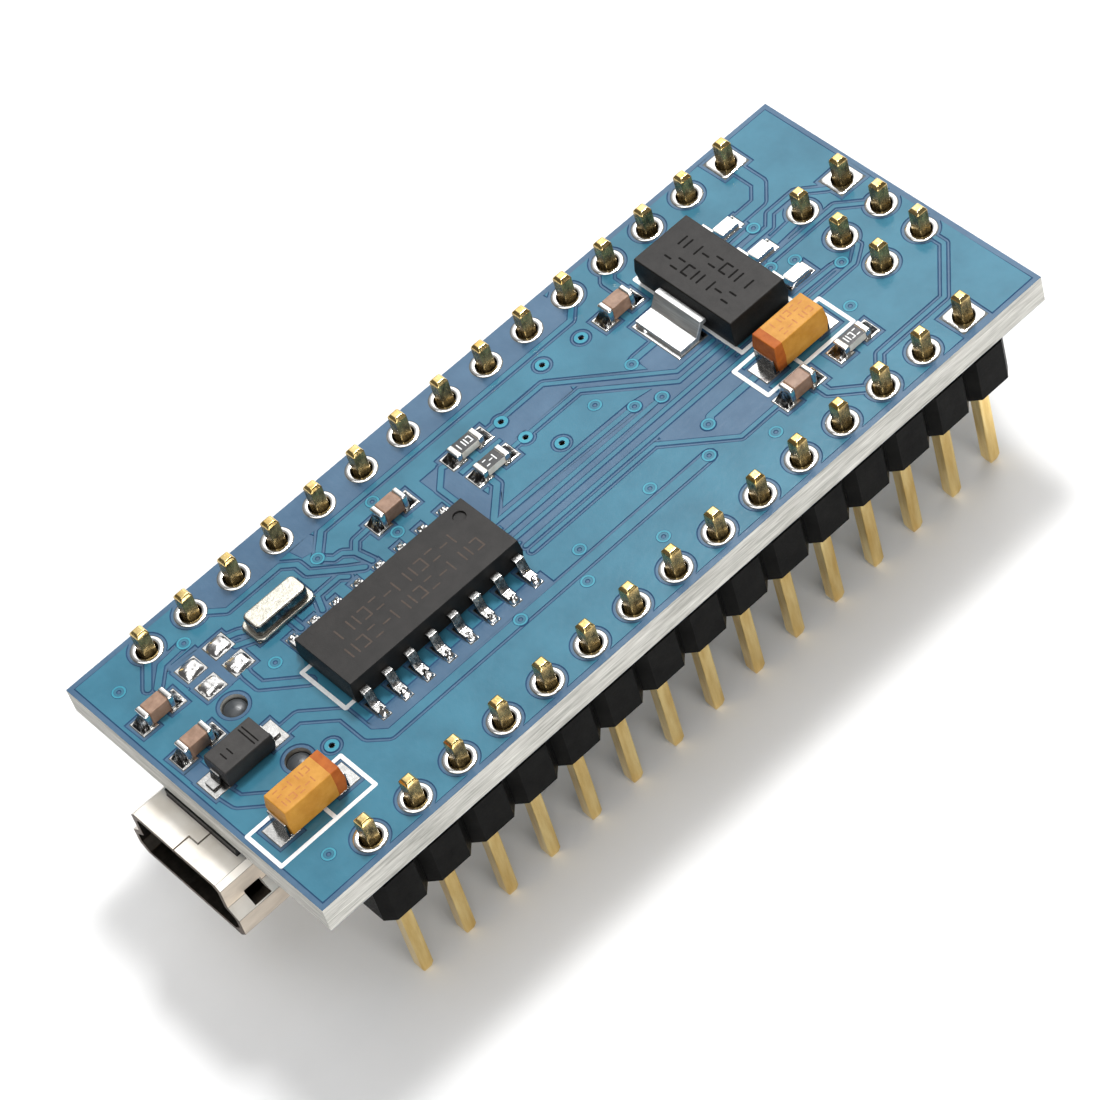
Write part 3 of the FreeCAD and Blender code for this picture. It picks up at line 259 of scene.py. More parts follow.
LAMP_BASE = finish("lamp_base", (0.62, 0.60, 0.52), (0.80, 0.78, 0.70), (0.5, 0.7), size=0.3)
LENS = clear_lens()
INK = finish("white_ink", (0.74, 0.76, 0.76), (0.90, 0.91, 0.90), (0.5, 0.7), size=0.3,
             fine=0.05, depth=0.006)
BUTTON = finish("button_plastic", (0.62, 0.60, 0.55), (0.74, 0.72, 0.67), (0.36, 0.5),
                size=0.8, fine=0.1, depth=0.004)


# ---------------------------------------------------------------- mesh helpers

WELD_DISTANCE = 0.0002
FLAT_ANGLE = math.radians(0.6)
SHARP_EDGE = math.radians(25)
SMOOTH_LIMIT = 38     # degrees; faces that meet more sharply keep their own normals
VARNISH_LIMIT = 12
STEP_SLOPE = 0.03     # how far a step between two levels leans out
VARNISH_SLOPE = 0.06
LEAN_RATE = 1.6       # a step has leaned out fully before it is all the way down
LEAST_LEAN = 0.35     # keeps the lean short at a sharp corner


def solid(node):
    """A CAD node's shape in millimetres, with its seams welded and its flat faces whole."""
    bm = bmesh.new()
    bm.from_mesh(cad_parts[node].data)
    bmesh.ops.scale(bm, vec=[1 / MM] * 3, verts=bm.verts)
    bmesh.ops.remove_doubles(bm, verts=bm.verts, dist=WELD_DISTANCE)
    bmesh.ops.dissolve_limit(bm, angle_limit=FLAT_ANGLE, verts=bm.verts, edges=bm.edges)
    return bm


def soften(bm, width, segments=3, surface=-1):
    """Rounds the edges of a shape; the rounded edges may have a surface of their own."""
    sharp = [e for e in bm.edges if e.is_manifold and e.calc_face_angle(0) > SHARP_EDGE]
    bmesh.ops.bevel(bm, geom=sharp, offset=width, segments=segments, profile=0.5,
                    affect="EDGES", clamp_overlap=True, material=surface)


def shade(mesh, limit):
    """Smooth normals in which the large faces count most, split where the mesh turns sharply."""
    count = len(mesh.polygons)
    areas = np.zeros(count)
    flat = np.zeros(count * 3)
    mesh.polygons.foreach_get("area", areas)
    mesh.polygons.foreach_get("normal", flat)
    flat = flat.reshape(-1, 3)
    around = {}
    for face in mesh.polygons:
        for loop, vertex in zip(face.loop_indices, face.vertices):
            around.setdefault(vertex, []).append((loop, face.index))
    normals = np.zeros((len(mesh.loops), 3))
    least = math.cos(math.radians(limit))
    for fans in around.values():
        loops = [loop for loop, _ in fans]
        faces = [face for _, face in fans]
        near = flat[faces] @ flat[faces].T > least
        normals[loops] = near @ (flat[faces] * areas[faces][:, None])
    normals /= np.maximum(np.linalg.norm(normals, axis=1), 1e-12)[:, None]
    mesh.polygons.foreach_set("use_smooth", [True] * count)
    mesh.normals_split_custom_set(normals.tolist())


def piece(name, bm, materials, replaces=(), body=BOARD, smooth=SMOOTH_LIMIT):
    """An object from a shape in millimetres, which rides on a body and stands for CAD nodes."""
    bmesh.ops.recalc_face_normals(bm, faces=bm.faces)
    mesh = bpy.data.meshes.new(name)
    bm.to_mesh(mesh)
    bm.free()
    for material in materials:
        mesh.materials.append(material)
    shade(mesh, smooth)
    mesh.transform(Matrix.Scale(MM, 4))
    thing = bpy.data.objects.new(name, mesh)
    bpy.context.scene.collection.objects.link(thing)
    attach(thing, body)
    if replaces:
        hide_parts(*replaces)


def islands(bm):
    """The separate shells of a mesh, each as a list of vertices."""
    left = set(bm.verts)
    found = []
    while left:
        shell, edge = set(), [next(iter(left))]
        while edge:
            vertex = edge.pop()
            if vertex not in shell:
                shell.add(vertex)
                edge.extend(e.other_vert(vertex) for e in vertex.link_edges)
        left -= shell
        found.append(sorted(shell, key=lambda v: v.index))
    return sorted(found, key=lambda shell: shell[0].index)


def corners(vertices):
    """The lowest and highest corner round some vertices."""
    return (
        Vector([min(v.co[i] for v in vertices) for i in range(3)]),
        Vector([max(v.co[i] for v in vertices) for i in range(3)]),
    )


def footprints(node):
    """The outline of each solid of a node, seen from above."""
    bm = solid(node)
    outlines = []
    for shell in islands(bm):
        points = [v.co.xy for v in shell]
        outlines.append([points[i].copy() for i in convex_hull_2d(points)])
    bm.free()
    return outlines


def grown(outline, margin):
    """A convex outline made larger by a margin; a rectangle's corners move by its diagonal."""
    centre = sum(outline, Vector((0, 0))) / len(outline)
    return [p + (p - centre).normalized() * margin * math.sqrt(2 if len(outline) < 6 else 1)
            for p in outline]


def ring(centre, radius, count=24, start=0.0, sweep=2 * math.pi):
    """Points on an arc, counter-clockwise."""
    steps = count if sweep >= 2 * math.pi else count - 1
    return [
        Vector((centre[0] + radius * math.cos(start + sweep * i / steps),
                centre[1] + radius * math.sin(start + sweep * i / steps)))
        for i in range(count)
    ]


def stroke(width, *points):
    """Rounded bars that together cover a line of this width through the points."""
    bars = []
    for a, b in zip(points, points[1:]):
        heading = math.atan2(b[1] - a[1], b[0] - a[0])
        bars.append(
            ring(b, width / 2, 6, heading - math.pi / 2, math.pi)
            + ring(a, width / 2, 6, heading + math.pi / 2, math.pi)
        )
    return bars


def box_outline(x0, y0, x1, y1):
    return [Vector((x0, y0)), Vector((x1, y0)), Vector((x1, y1)), Vector((x0, y1))]


def is_counter_clockwise(outline):
    return sum(a.cross(b) for a, b in zip(outline, outline[1:] + outline[:1])) > 0


def sheet(layers, levels, surfaces, base, facing, slope=STEP_SLOPE):
    """A thin relief cut out of flat layers.

    The layers are (kind, outlines) from the topmost to the sheet's own outline, which is last.
    Each kind has a level above the base, or None where the sheet is open.  Steps between two
    levels slope a little, and the sheet's borders drop straight to the base.  The walls have
    the surface "step" if there is one.
    """
    points, outlines, kinds = [], [], []
    for kind, shapes in layers:
        for shape in shapes:
            shape = [Vector(p[:2]) for p in shape]
            outlines.append(list(range(len(points), len(points) + len(shape))))
            points.extend(shape if is_counter_clockwise(shape) else shape[::-1])
            kinds.append(kind)
    flat, _, cells, _, _, sources = delaunay_2d_cdt(points, [], outlines, 1, 1e-4)
    rank = {kind: i for i, (kind, _) in enumerate(layers)}
    whole = layers[-1][0]
    kept = []
    for cell, source in zip(cells, sources):
        covers = {kinds[s] for s in source}
        if whole in covers:
            kind = min(covers, key=rank.get)
            if levels[kind] is not None:
                kept.append((cell, kind))

    sides = {}
    for cell, kind in kept:
        for a, b in zip(cell, cell[1:] + cell[:1]):
            sides.setdefault((a, b), kind)
    lean = {}
    for (a, b), kind in sides.items():
        other = sides.get((b, a))
        if other is not None and levels[other] < levels[kind]:
            along = flat[b] - flat[a]
            outward = Vector((along.y, -along.x)).normalized()
            for v in (a, b):
                lean.setdefault(v, []).append(outward)
    highest = {}
    for cell, kind in kept:
        for v in cell:
            highest[v] = max(highest.get(v, 0), levels[kind])

    bm = bmesh.new()
    made = {}

    def vertex(v, level):
        if (v, level) not in made:
            x, y = flat[v]
            if v in lean and level > 0:
                mean = sum(lean[v], Vector((0, 0))) / len(lean[v])
                reach = mean / max(mean.length_squared, LEAST_LEAN)
                drop = (highest[v] - level) / max(highest[v], 1e-6)
                x += reach.x * slope * min(1, LEAN_RATE * drop)
                y += reach.y * slope * min(1, LEAN_RATE * drop)
            made[v, level] = bm.verts.new((x, y, base + facing * level))
        return made[v, level]

    def face(corner_list, kind):
        if len(set(corner_list)) > 2:
            try:
                made_face = bm.faces.new(corner_list)
            except ValueError:
                return
            made_face.material_index = surfaces[kind]

    for cell, kind in kept:
        loop = [vertex(v, levels[kind]) for v in cell]
        face(loop if facing > 0 else loop[::-1], kind)
    for (a, b), kind in sides.items():
        other = sides.get((b, a))
        low = 0.0 if other is None else levels[other]
        if low < levels[kind]:
            wall = [vertex(a, levels[kind]), vertex(a, low), vertex(b, low),
                    vertex(b, levels[kind])]
            face(wall if facing > 0 else wall[::-1], "step" if "step" in surfaces else kind)
    return bm


def slab(outline, holes, low, high):
    """A plate with straight holes through it."""
    top = sheet([("hole", holes), ("plate", [outline])], {"hole": None, "plate": high - low},
                {"plate": 0}, low, 1)
    bottom = sheet([("hole", holes), ("plate", [outline])], {"hole": None, "plate": 0.0},
                   {"plate": 0}, low, -1)
    mesh = bpy.data.meshes.new("bottom")
    bottom.to_mesh(mesh)
    bottom.free()
    top.from_mesh(mesh)
    bpy.data.meshes.remove(mesh)
    bmesh.ops.remove_doubles(top, verts=top.verts, dist=1e-4)
    return top


# ---------------------------------------------------------------- circuit board

BOARD_LOW, BOARD_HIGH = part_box("circuit_board")
EDGE_X0, EDGE_Y0, UNDER = (v / MM for v in BOARD_LOW)
EDGE_X1, EDGE_Y1, OVER = (v / MM for v in BOARD_HIGH)
MASK_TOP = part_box("solder_mask_upper")[1].z / MM
MASK_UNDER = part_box("solder_mask_lower")[0].z / MM

# heights of the varnish above the laminate, and of the ink above the varnish
COPPER, BARE, RIM, CAP, DIMPLE = MASK_TOP - OVER, 0.012, 0.052, 0.046, 0.026
INK_RISE = 0.012
# gaps between a pad and its varnish, between copper and copper, and along the board's edge
PAD_GAP, CLEARANCE, EDGE_MARGIN = 0.035, 0.2, 0.3
# radii
VIA_RIM, VIA_CAP, VIA_DIMPLE, VIA_HOLE, VIA_LINING = 0.33, 0.24, 0.12, 0.15, 0.13
BORE, DRILL = 0.5, 0.55
PEG_HOLES = ((-17.2, 2.2), (-17.2, -2.2))
PEG_HOLE_RADIUS = 0.62

# Copper tracks of the upper face: width, then the points of the centre line.
UPPER_TRACKS = [
    (0.25, (-15.24, 7.62), (-14.1, 6.42), (-11.0, 6.42), (-10.45, 5.85), (-10.45, 5.1),
     (-9.2, 3.85), (-8.6, 3.3)),
    (0.25, (-9.65, 5.35), (-8.55, 6.42), (6.7, 6.42), (7.4, 7.1), (7.62, 7.62)),
    (0.22, (-9.65, 5.35), (-9.2, 4.75), (-8.75, 4.7), (-8.35, 4.25), (-7.9, 4.75), (-7.0, 4.8)),
    (0.22, (-8.16, 3.3), (-8.35, 4.25)),
    (0.3, (-16.5, 6.55), (-17.9, 6.45), (-18.8, 5.6)),
    (0.3, (-17.78, 7.62), (-18.3, 6.9), (-19.1, 5.9)),
    (0.25, (-15.1, 5.3), (-14.6, 5.1), (-14.2, 4.8)),
    (0.25, (-15.1, 4.6), (-14.3, 4.2)),
    (0.32, (-15.6, 3.8), (-15.78, 3.0), (-15.78, 2.1), (-14.2, 0.55)),
    (0.22, (-12.6, 4.0), (-12.6, 3.0)),
    (0.22, (-11.35, 3.0), (-11.0, 3.8), (-9.7, 3.8), (-9.43, 3.5)),
    (0.45, (-16.8, -0.5), (-15.8, -0.5), (-14.4, -1.95), (-14.4, -3.6), (-13.75, -4.3),
     (5.2, -4.3)),
    (0.5, (-20.4, -1.0), (-20.3, -1.8), (-19.0, -3.1)),
    (0.25, (-2.4, 4.6), (-2.75, 4.75), (-3.6, 3.9), (-3.6, 2.6)),
    (0.3, (-1.8, 2.6), (-1.8, 2.05), (-3.2, 0.7)),
    (0.2, (-3.3, 0.52), (5.06, 0.37)),
    (0.2, (-3.3, -0.27), (6.2, -0.22)),
    (0.2, (-3.3, -0.84), (14.3, -0.84), (16.2, -0.9), (16.7, -1.05)),
    (0.2, (-3.3, -1.51), (17.0, -1.51), (17.9, -0.9), (17.78, 0.0)),
    (0.2, (-3.3, -1.92), (4.15, -1.92), (6.85, -4.65), (9.2, -4.65)),
    (0.2, (-0.05, 4.65), (3.35, 4.65), (7.65, 0.33), (9.9, 0.33)),
    (0.2, (0.0, 3.05), (4.15, 3.05), (7.3, -0.17), (9.9, -0.17)),
    (0.35, (6.4, -3.0), (6.8, -2.72), (9.9, -2.72)),
    (0.3, (6.65, 2.25), (7.0, 2.35), (8.3, 2.35)),
    (0.5, (10.16, 7.62), (9.35, 6.75), (9.35, 5.4)),
    (0.5, (15.4, 4.6), (17.0, 4.62), (17.8, 5.45), (17.8, 6.9)),
    (0.45, (15.4, 2.3), (17.2, 2.4)),
    (0.2, (14.2, 3.65), (15.7, 3.65)),
    (0.2, (14.3, 3.1), (16.2, 3.1), (16.8, 3.7), (18.4, 3.7), (19.5, 2.6)),
    (0.2, (14.5, 1.3), (14.75, 1.62), (18.9, 1.62), (19.9, 0.6), (20.32, 0.1)),
    (0.2, (20.32, -2.6), (20.32, -3.95), (18.05, -6.18), (13.95, -6.18), (12.9, -7.25)),
    (0.25, (10.95, -5.2), (10.95, -5.95), (12.2, -7.2)),
]

# Places on the upper face where the copper is etched away.
UPPER_BARE = [
    [(-14.6, EDGE_Y1), (-14.6, 6.9), (-14.35, 6.65), (6.75, 6.65), (7.0, 6.9), (7.0, EDGE_Y1)],
    box_outline(-18.0, 5.9, -16.2, 6.12),
    [(-10.3, 6.9), (-10.1, 5.9), (-9.6, 5.8), (-8.9, 6.5), (-9.0, 6.9)],
    box_outline(-17.9, 3.1, -15.0, 5.9),
    box_outline(-21.0, 0.3, -20.0, 1.1),
    box_outline(-14.0, -4.0, -3.8, -3.0),
    box_outline(-3.9, 1.0, -2.4, 5.0),
    [(0.0, 3.1), (4.0, 3.1), (4.1, 3.6), (3.2, 4.6), (0.0, 4.6)],
    [(6.9, 0.5), (8.6, 0.5), (8.6, 2.1), (6.9, 2.1)],
    [(-3.3, -2.0), (4.2, -2.0), (4.6, -1.7), (9.9, -1.7), (9.9, 0.3), (7.2, 0.3), (5.0, 0.75),
     (-3.3, 0.9)],
    [(4.5, -1.7), (9.6, -1.7), (9.6, -4.5), (7.0, -4.5), (4.5, -2.1)],
]

OPEN_VIAS = [(0.7, 4.55), (0.8, 3.0), (1.6, 1.45), (4.1, 5.5), (6.3, 5.25), (-15.8, -2.8)]
CLOSED_VIAS = [
    (-20.05, 6.8), (-16.5, 6.55), (-14.55, 2.5), (-9.65, 5.35), (-6.4, 3.6), (-6.0, 5.8),
    (-6.15, -4.3), (-2.9, -5.1), (-1.95, -3.55), (2.3, -3.55), (0.85, -5.95), (7.95, -5.7),
    (4.0, 1.85), (5.06, 0.37), (6.2, -0.22), (6.65, 2.25), (6.4, -3.0), (5.2, -4.3),
    (15.7, 3.65), (14.5, 1.3), (15.5, 0.75), (16.7, -1.05), (15.1, -3.2), (-19.5, -6.9),
]

# White lines of the upper legend: width, then the points.
UPPER_LEGEND = [
    (0.2, (-13.6, 1.15), (-14.15, 1.15), (-14.15, -1.8), (-13.6, -1.8)),
    (0.2, (10.2, -1.25), (13.7, -1.25), (13.7, 5.8), (10.2, 5.8), (10.2, -1.25)),
    (0.2, (9.2, -3.95), (14.55, -3.95), (14.55, -1.75), (9.2, -1.75), (9.2, -3.95)),
    (0.2, (11.4, -3.4), (11.4, -3.9)),
    (0.2, (-21.2, -5.8), (-15.9, -5.8), (-15.9, -3.5), (-21.2, -3.5), (-21.2, -5.8)),
    (0.2, (-18.1, -5.0), (-18.1, -5.7)),
]

BOARD_OUTLINE = box_outline(EDGE_X0, EDGE_Y0, EDGE_X1, EDGE_Y1)


def middle_of(outline):
    """The middle of the box round an outline."""
    return Vector([(min(p[i] for p in outline) + max(p[i] for p in outline)) / 2 for i in (0, 1)])


def mask(name, lands, tracks, bare, legend_name, legend, base, facing, node):
    """The varnish on one face, which shows the copper under it, and the legend on it."""
    rings = footprints("plated_holes")
    bars = [bar for width, *points in tracks for bar in stroke(width, *points)]
    wide = [
        bar for width, *points in tracks for bar in stroke(width + 2 * CLEARANCE, *points)
    ]
    margins = [
        box_outline(EDGE_X0, EDGE_Y0, EDGE_X0 + EDGE_MARGIN, EDGE_Y1),
        box_outline(EDGE_X1 - EDGE_MARGIN, EDGE_Y0, EDGE_X1, EDGE_Y1),
        box_outline(EDGE_X0, EDGE_Y0, EDGE_X1, EDGE_Y0 + EDGE_MARGIN),
        box_outline(EDGE_X0, EDGE_Y1 - EDGE_MARGIN, EDGE_X1, EDGE_Y1),
    ]
    layers = [
        ("open", [ring(p, VIA_HOLE, 16) for p in OPEN_VIAS]
         + [ring(p, PEG_HOLE_RADIUS, 40) for p in PEG_HOLES]
         + [grown(r, PAD_GAP) for r in rings + lands]),
        ("dimple", [ring(p, VIA_DIMPLE, 12) for p in CLOSED_VIAS]),
        ("cap", [ring(p, VIA_CAP, 20) for p in CLOSED_VIAS]),
        ("rim", [ring(p, VIA_RIM, 20) for p in OPEN_VIAS + CLOSED_VIAS]),
        ("track", bars),
        ("bare", wide + bare + margins
         + [grown(r, CLEARANCE) for r in rings + lands]
         + [ring(p, VIA_RIM + CLEARANCE, 20) for p in OPEN_VIAS]
         + [ring(p, PEG_HOLE_RADIUS + CLEARANCE, 32) for p in PEG_HOLES]),
        ("pour", [BOARD_OUTLINE]),
    ]
    levels = {"open": None, "dimple": DIMPLE, "cap": CAP, "rim": RIM, "track": COPPER,
              "bare": BARE, "pour": COPPER}
    # the step walls take the painted shade line
    surfaces = {"pour": 0, "track": 0, "cap": 0, "dimple": 1, "bare": 1, "step": 2, "rim": 3}
    varnish = sheet(layers, levels, surfaces, base, facing, VARNISH_SLOPE)
    piece(name, varnish, [MASK_ON_COPPER, MASK_ON_LAMINATE, MASK_STEP_PAINTED_SHADE, MASK_ON_VIA],
          [node], smooth=VARNISH_LIMIT)
    ink = sheet(
        [("ink", [bar for width, *points in legend for bar in stroke(width, *points)]),
         ("pour", [BOARD_OUTLINE])],
        {"ink": COPPER + INK_RISE, "pour": None}, {"ink": 0}, base, facing,
    )
    piece(legend_name, ink, [INK])


def lathe(bm, centre, profile, count=32, square=0.0):
    """A closed ring whose section is the profile of (radius, height) points."""
    loops = []
    for radius, height in profile:
        loop = []
        for i in range(count):
            angle = 2 * math.pi * (i + 0.5) / count
            c, s = math.cos(angle), math.sin(angle)
            reach = radius
            if square and radius > square:
                reach = radius / (abs(c) ** SQUARENESS + abs(s) ** SQUARENESS) ** (1 / SQUARENESS)
            loop.append(bm.verts.new((centre[0] + reach * c, centre[1] + reach * s, height)))
        loops.append(loop)
    for a, b in zip(loops, loops[1:] + loops[:1]):
        for i in range(count):
            j = (i + 1) % count
            bm.faces.new((a[i], a[j], b[j], b[i]))


CORNER_REACH = 1.2    # an outline whose corners reach further than this is a square pad's
SQUARENESS = 9        # the power that gives a square pad its rounded corners


def plated_rings():
    """Tinned rings and barrels, with the rounded lips that levelled tin has."""
    bm = bmesh.new()
    for outline in footprints("plated_holes"):
        centre = middle_of(outline)
        outer = max(p.x for p in outline) - centre.x
        is_square = max((p - centre).length for p in outline) > outer * CORNER_REACH
        # radii and heights of the lip's section, from its outer rim down into the hole
        lip = [(outer, 0.0), (outer, 0.022), (outer - 0.03, 0.042), (outer - 0.11, 0.052),
               (BORE + 0.09, 0.052), (BORE + 0.03, 0.036), (BORE, -0.02), (BORE, -0.12)]
        profile = [(r, OVER + h) for r, h in lip]
        profile += [(r, UNDER - h) for r, h in reversed(lip)]
        profile += [(DRILL, UNDER), (DRILL, OVER)]
        lathe(bm, centre, profile, 32, BORE + 0.1 if is_square else 0.0)
    piece("pin_hole_rings", bm, [TIN_PAD], ["plated_holes"])


def via_barrels():
    """Copper linings of the small holes that are left open."""
    bm = bmesh.new()
    for centre in OPEN_VIAS:
        lathe(bm, centre, [
            (VIA_HOLE, OVER), (VIA_HOLE, UNDER), (VIA_LINING, UNDER), (VIA_LINING, OVER),
        ], 16)
    piece("via_barrels", bm, [TIN_PAD])


def board_core():
    """The laminate, with its holes."""
    holes = [ring(middle_of(r), DRILL, 32) for r in footprints("plated_holes")]
    holes += [ring(p, PEG_HOLE_RADIUS, 40) for p in PEG_HOLES]
    holes += [ring(p, VIA_HOLE, 16) for p in OPEN_VIAS]
    core = slab(BOARD_OUTLINE, holes, UNDER, OVER)
    core.normal_update()
    for face in core.faces:
        face.material_index = 1 if abs(face.normal.z) > 0.5 else 0
    piece("board_core", core, [LAMINATE, LAMINATE_FACE], ["circuit_board"])


board_core()
plated_rings()
via_barrels()
mask("upper_mask", footprints("solder_lands_upper"), UPPER_TRACKS, UPPER_BARE,
     "upper_legend", UPPER_LEGEND, OVER, 1, "solder_mask_upper")
mask("lower_mask", footprints("solder_lands_lower"), [], [],
     "lower_legend", [(0.2, (12.3, -5.6), (12.3, 5.6))], UNDER, -1, "solder_mask_lower")


# ---------------------------------------------------------------- CAD parts with rounded edges

STEEP = 0.75    # a face whose normal has less of z than this is steep


def dressed(node, material, width, steep=None, body=BOARD):
    """A CAD node with rounded edges and a finer surface, and a darker painted shade on its steep
    faces.
    """
    bm = solid(node)
    bm.normal_update()
    if steep:
        for face in bm.faces:
            face.material_index = 1 if abs(face.normal.z) < STEEP else 0
    soften(bm, width)
    piece(node + "_finish", bm, [material, steep] if steep else [material], [node], body)


for node, material, slot, width in (
    ("header_strip_left", PLASTIC, "black_plastic", 0.07),
    ("header_strip_right", PLASTIC, "black_plastic", 0.07),
    ("programming_strip", PLASTIC, "black_plastic", 0.07),
    ("usb_insulator", PORT_PLASTIC, "black_plastic", 0.04),
    ("usb_contacts", GOLD, "gold_plate", 0.03),
    ("diode_case", DIODE_RESIN, "chip_resin", 0.05),
    ("microcontroller_case", RESIN, "chip_resin", 0.05),
    ("crystal_base", CAN, "can_metal", 0.06),
    ("upper_capacitor_ends", TIN_PAD, "tinned_lead", 0.09),
    ("lower_capacitor_ends", TIN_PAD, "tinned_lead", 0.09),
    ("upper_resistor_ends", TIN_PAD, "tinned_lead", 0.06),
    ("lower_resistor_ends", TIN_PAD, "tinned_lead", 0.06),
    ("upper_capacitor_bodies", TAN, "tan_ceramic", 0.05),
    ("lower_capacitor_bodies", TAN, "tan_ceramic", 0.05),
    ("resistor_array_ends", TIN_PAD, "tinned_lead", 0.03),
    ("resonator_body", BROWN, "brown_ceramic", 0.06),
    ("resonator_terminals", TIN_PAD, "tinned_lead", 0.02),
    ("indicator_lamp_bases", LAMP_BASE, "lamp_laminate", 0.02),
    ("indicator_lamp_lenses", LENS, "clear_resin", 0.05),
    ("indicator_lamp_ends", GOLD, "gold_plate", 0.02),
    ("solder_lands_upper", TIN_PAD, "tinned_copper", 0.015),
    ("solder_lands_lower", TIN_PAD, "tinned_copper", 0.015),
    ("reset_button_case", PORT_PLASTIC, "black_plastic", 0.04),
    ("reset_button_cover", STEEL, "stainless", 0.03),
    ("reset_button_dome", STEEL, "stainless", 0.01),
    ("reset_button_leads", TIN_LEAD, "tinned_lead", 0.03),
):
    dressed(node, material, width)
dressed("reset_button_plunger", BUTTON, 0.05, body=PLUNGER)
# the steep faces of these leads get the painted shade
for node, width in (
    ("serial_chip_leads", 0.035),
    ("microcontroller_leads", 0.03),
    ("tantalum_capacitor_terminals", 0.025),
    ("diode_leads", 0.03),
):
    dressed(node, TIN_LEAD, width, TIN_PAINTED_SHADE)
dressed("crystal_can", CAN, 0.05, TIN_PAINTED_SHADE)
# the steep sides of these cases get the painted shade
dressed("serial_chip_case", RESIN, 0.05, RESIN_SIDE_PAINTED_SHADE)
dressed("regulator_case", RESIN, 0.06, RESIN_SIDE_PAINTED_SHADE)


# ---------------------------------------------------------------- parts with several finishes

def cut(bm, place, direction):
    """Splits the faces of a shape along a plane."""
    bmesh.ops.bisect_plane(bm, geom=bm.verts[:] + bm.edges[:] + bm.faces[:],
                           plane_co=place, plane_no=direction)


def pins(node):
    """Gold pins; above the board their sides carry a painted shade and a painted reflection of the
    board.
    """
    bm = solid(node)
    cut(bm, (0, 0, MASK_UNDER), (0, 0, 1))
    bm.normal_update()
    for face in bm.faces:
        above = face.calc_center_median().z > MASK_UNDER
        face.material_index = 1 if above and abs(face.normal.z) < 0.5 else 0
    soften(bm, 0.05)
    piece(node + "_finish", bm, [GOLD, GOLD_PAINTED_SHADE], [node])


for node in ("header_pins_left", "header_pins_right", "programming_pins"):
    pins(node)


def regulator_leads():
    """Tinned leads; the wide tab is brushed."""
    bm = solid("regulator_leads")
    tab = max(islands(bm), key=lambda s: corners(s)[1].y - corners(s)[0].y)
    for face in {face for vertex in tab for face in vertex.link_faces}:
        face.material_index = 1
    soften(bm, 0.035)
    piece("regulator_leads_finish", bm, [TIN_LEAD, BRUSHED_TIN],
          ["regulator_leads"])


regulator_leads()


def port_shell():
    """The port's shell: plated outside, with painted shade inside and along its rounded edges.

    Its flanks carry a painted shade that makes them darker than its broad faces, and the cut
    edge round its mouth is painted dark as shade.
    """
    outside, inside, flank, edge = range(4)
    bm = solid("usb_shell")
    bm.normal_update()
    low, high = (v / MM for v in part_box("usb_shell"))
    middle = (low + high) / 2
    for face in bm.faces:
        centre = face.calc_center_median()
        inward = middle - centre
        inward.x = 0
        # the mouth's front rim takes the painted dark shade
        if face.normal.x < -0.9 and centre.x < low.x + 0.1:
            face.material_index = edge
        # the inward faces take the painted shade
        elif inward.dot(face.normal) > 0.1:
            face.material_index = inside
        # the flanks take the painted shade
        elif abs(face.normal.y) > 0.9:
            face.material_index = flank
        else:
            face.material_index = outside
    # the rounded edges take the painted dark shade too
    soften(bm, 0.07, surface=edge)
    piece("port_shell", bm, [NICKEL, PORT_INSIDE_PAINTED_SHADE, NICKEL_FLANK_PAINTED_SHADE, EDGE_PAINTED_SHADE],
          ["usb_shell"])


port_shell()


def coat_tops(node, top, side):
    """A chip whose broad faces are glazed and whose sides show the bare ceramic."""
    bm = solid(node)
    for face in bm.faces:
        face.material_index = 0 if abs(face.normal.z) > 0.7 else 1
    soften(bm, 0.035, 2)
    piece(node + "_finish", bm, [top, side], [node])


for node in ("upper_resistor_bodies", "lower_resistor_bodies", "resistor_array_bodies"):
    coat_tops(node, GLAZE, ALUMINA)


BAND_WIDTH = 0.55


def tantalum_cases():
    """Orange cases; each has its polarity band across one end."""
    bm = solid("tantalum_capacitor_cases")
    bands = []
    for shell, end in zip(sorted(islands(bm), key=lambda s: -corners(s)[0].x), (-1, 1)):
        low, high = corners(shell)
        border = high.x - BAND_WIDTH if end > 0 else low.x + BAND_WIDTH
        bands.append((border, end, low.x, high.x))
    for border, _, _, _ in bands:
        cut(bm, (border, 0, 0), (1, 0, 0))
    for face in bm.faces:
        x = face.calc_center_median().x
        for border, end, low, high in bands:
            if low - 0.1 < x < high + 0.1 and (x - border) * end > 0:
                face.material_index = 1
    soften(bm, 0.05)
    piece("tantalum_cases", bm, [ORANGE, BAND], ["tantalum_capacitor_cases"])


tantalum_cases()


def solder_fillet(bm, high_side, low_corner, high_corner, facing):
    """Solder that climbs the end of a chip in a hollow curve."""
    steps, across = 8, 10
    hollow, shoulder = 1.9, 5    # powers of the curve down the fillet and of the one across it
    rise = high_corner.z - low_corner.z
    base = low_corner.z if facing > 0 else high_corner.z
    near, far = ((low_corner.x, high_corner.x) if high_side < 0
                 else (high_corner.x, low_corner.x))
    centre, half = (low_corner.y + high_corner.y) / 2, (high_corner.y - low_corner.y) / 2
    rows = []
    for i in range(steps + 1):
        u = i / steps
        row = []
        for j in range(across + 1):
            v = 2 * j / across - 1
            climb = rise * (1 - u) ** hollow * (1 - abs(v) ** shoulder)
            row.append(bm.verts.new((near + (far - near) * u, centre + half * v,
                                     base + facing * (climb + 0.001))))
        rows.append(row)
    for a, b in zip(rows, rows[1:]):
        for j in range(across):
            bm.faces.new((a[j], a[j + 1], b[j + 1], b[j]))
    rim = ([row[0] for row in rows] + rows[-1][1:] + [row[-1] for row in rows[-2::-1]]
           + rows[0][-2:0:-1])
    bm.faces.new(rim)


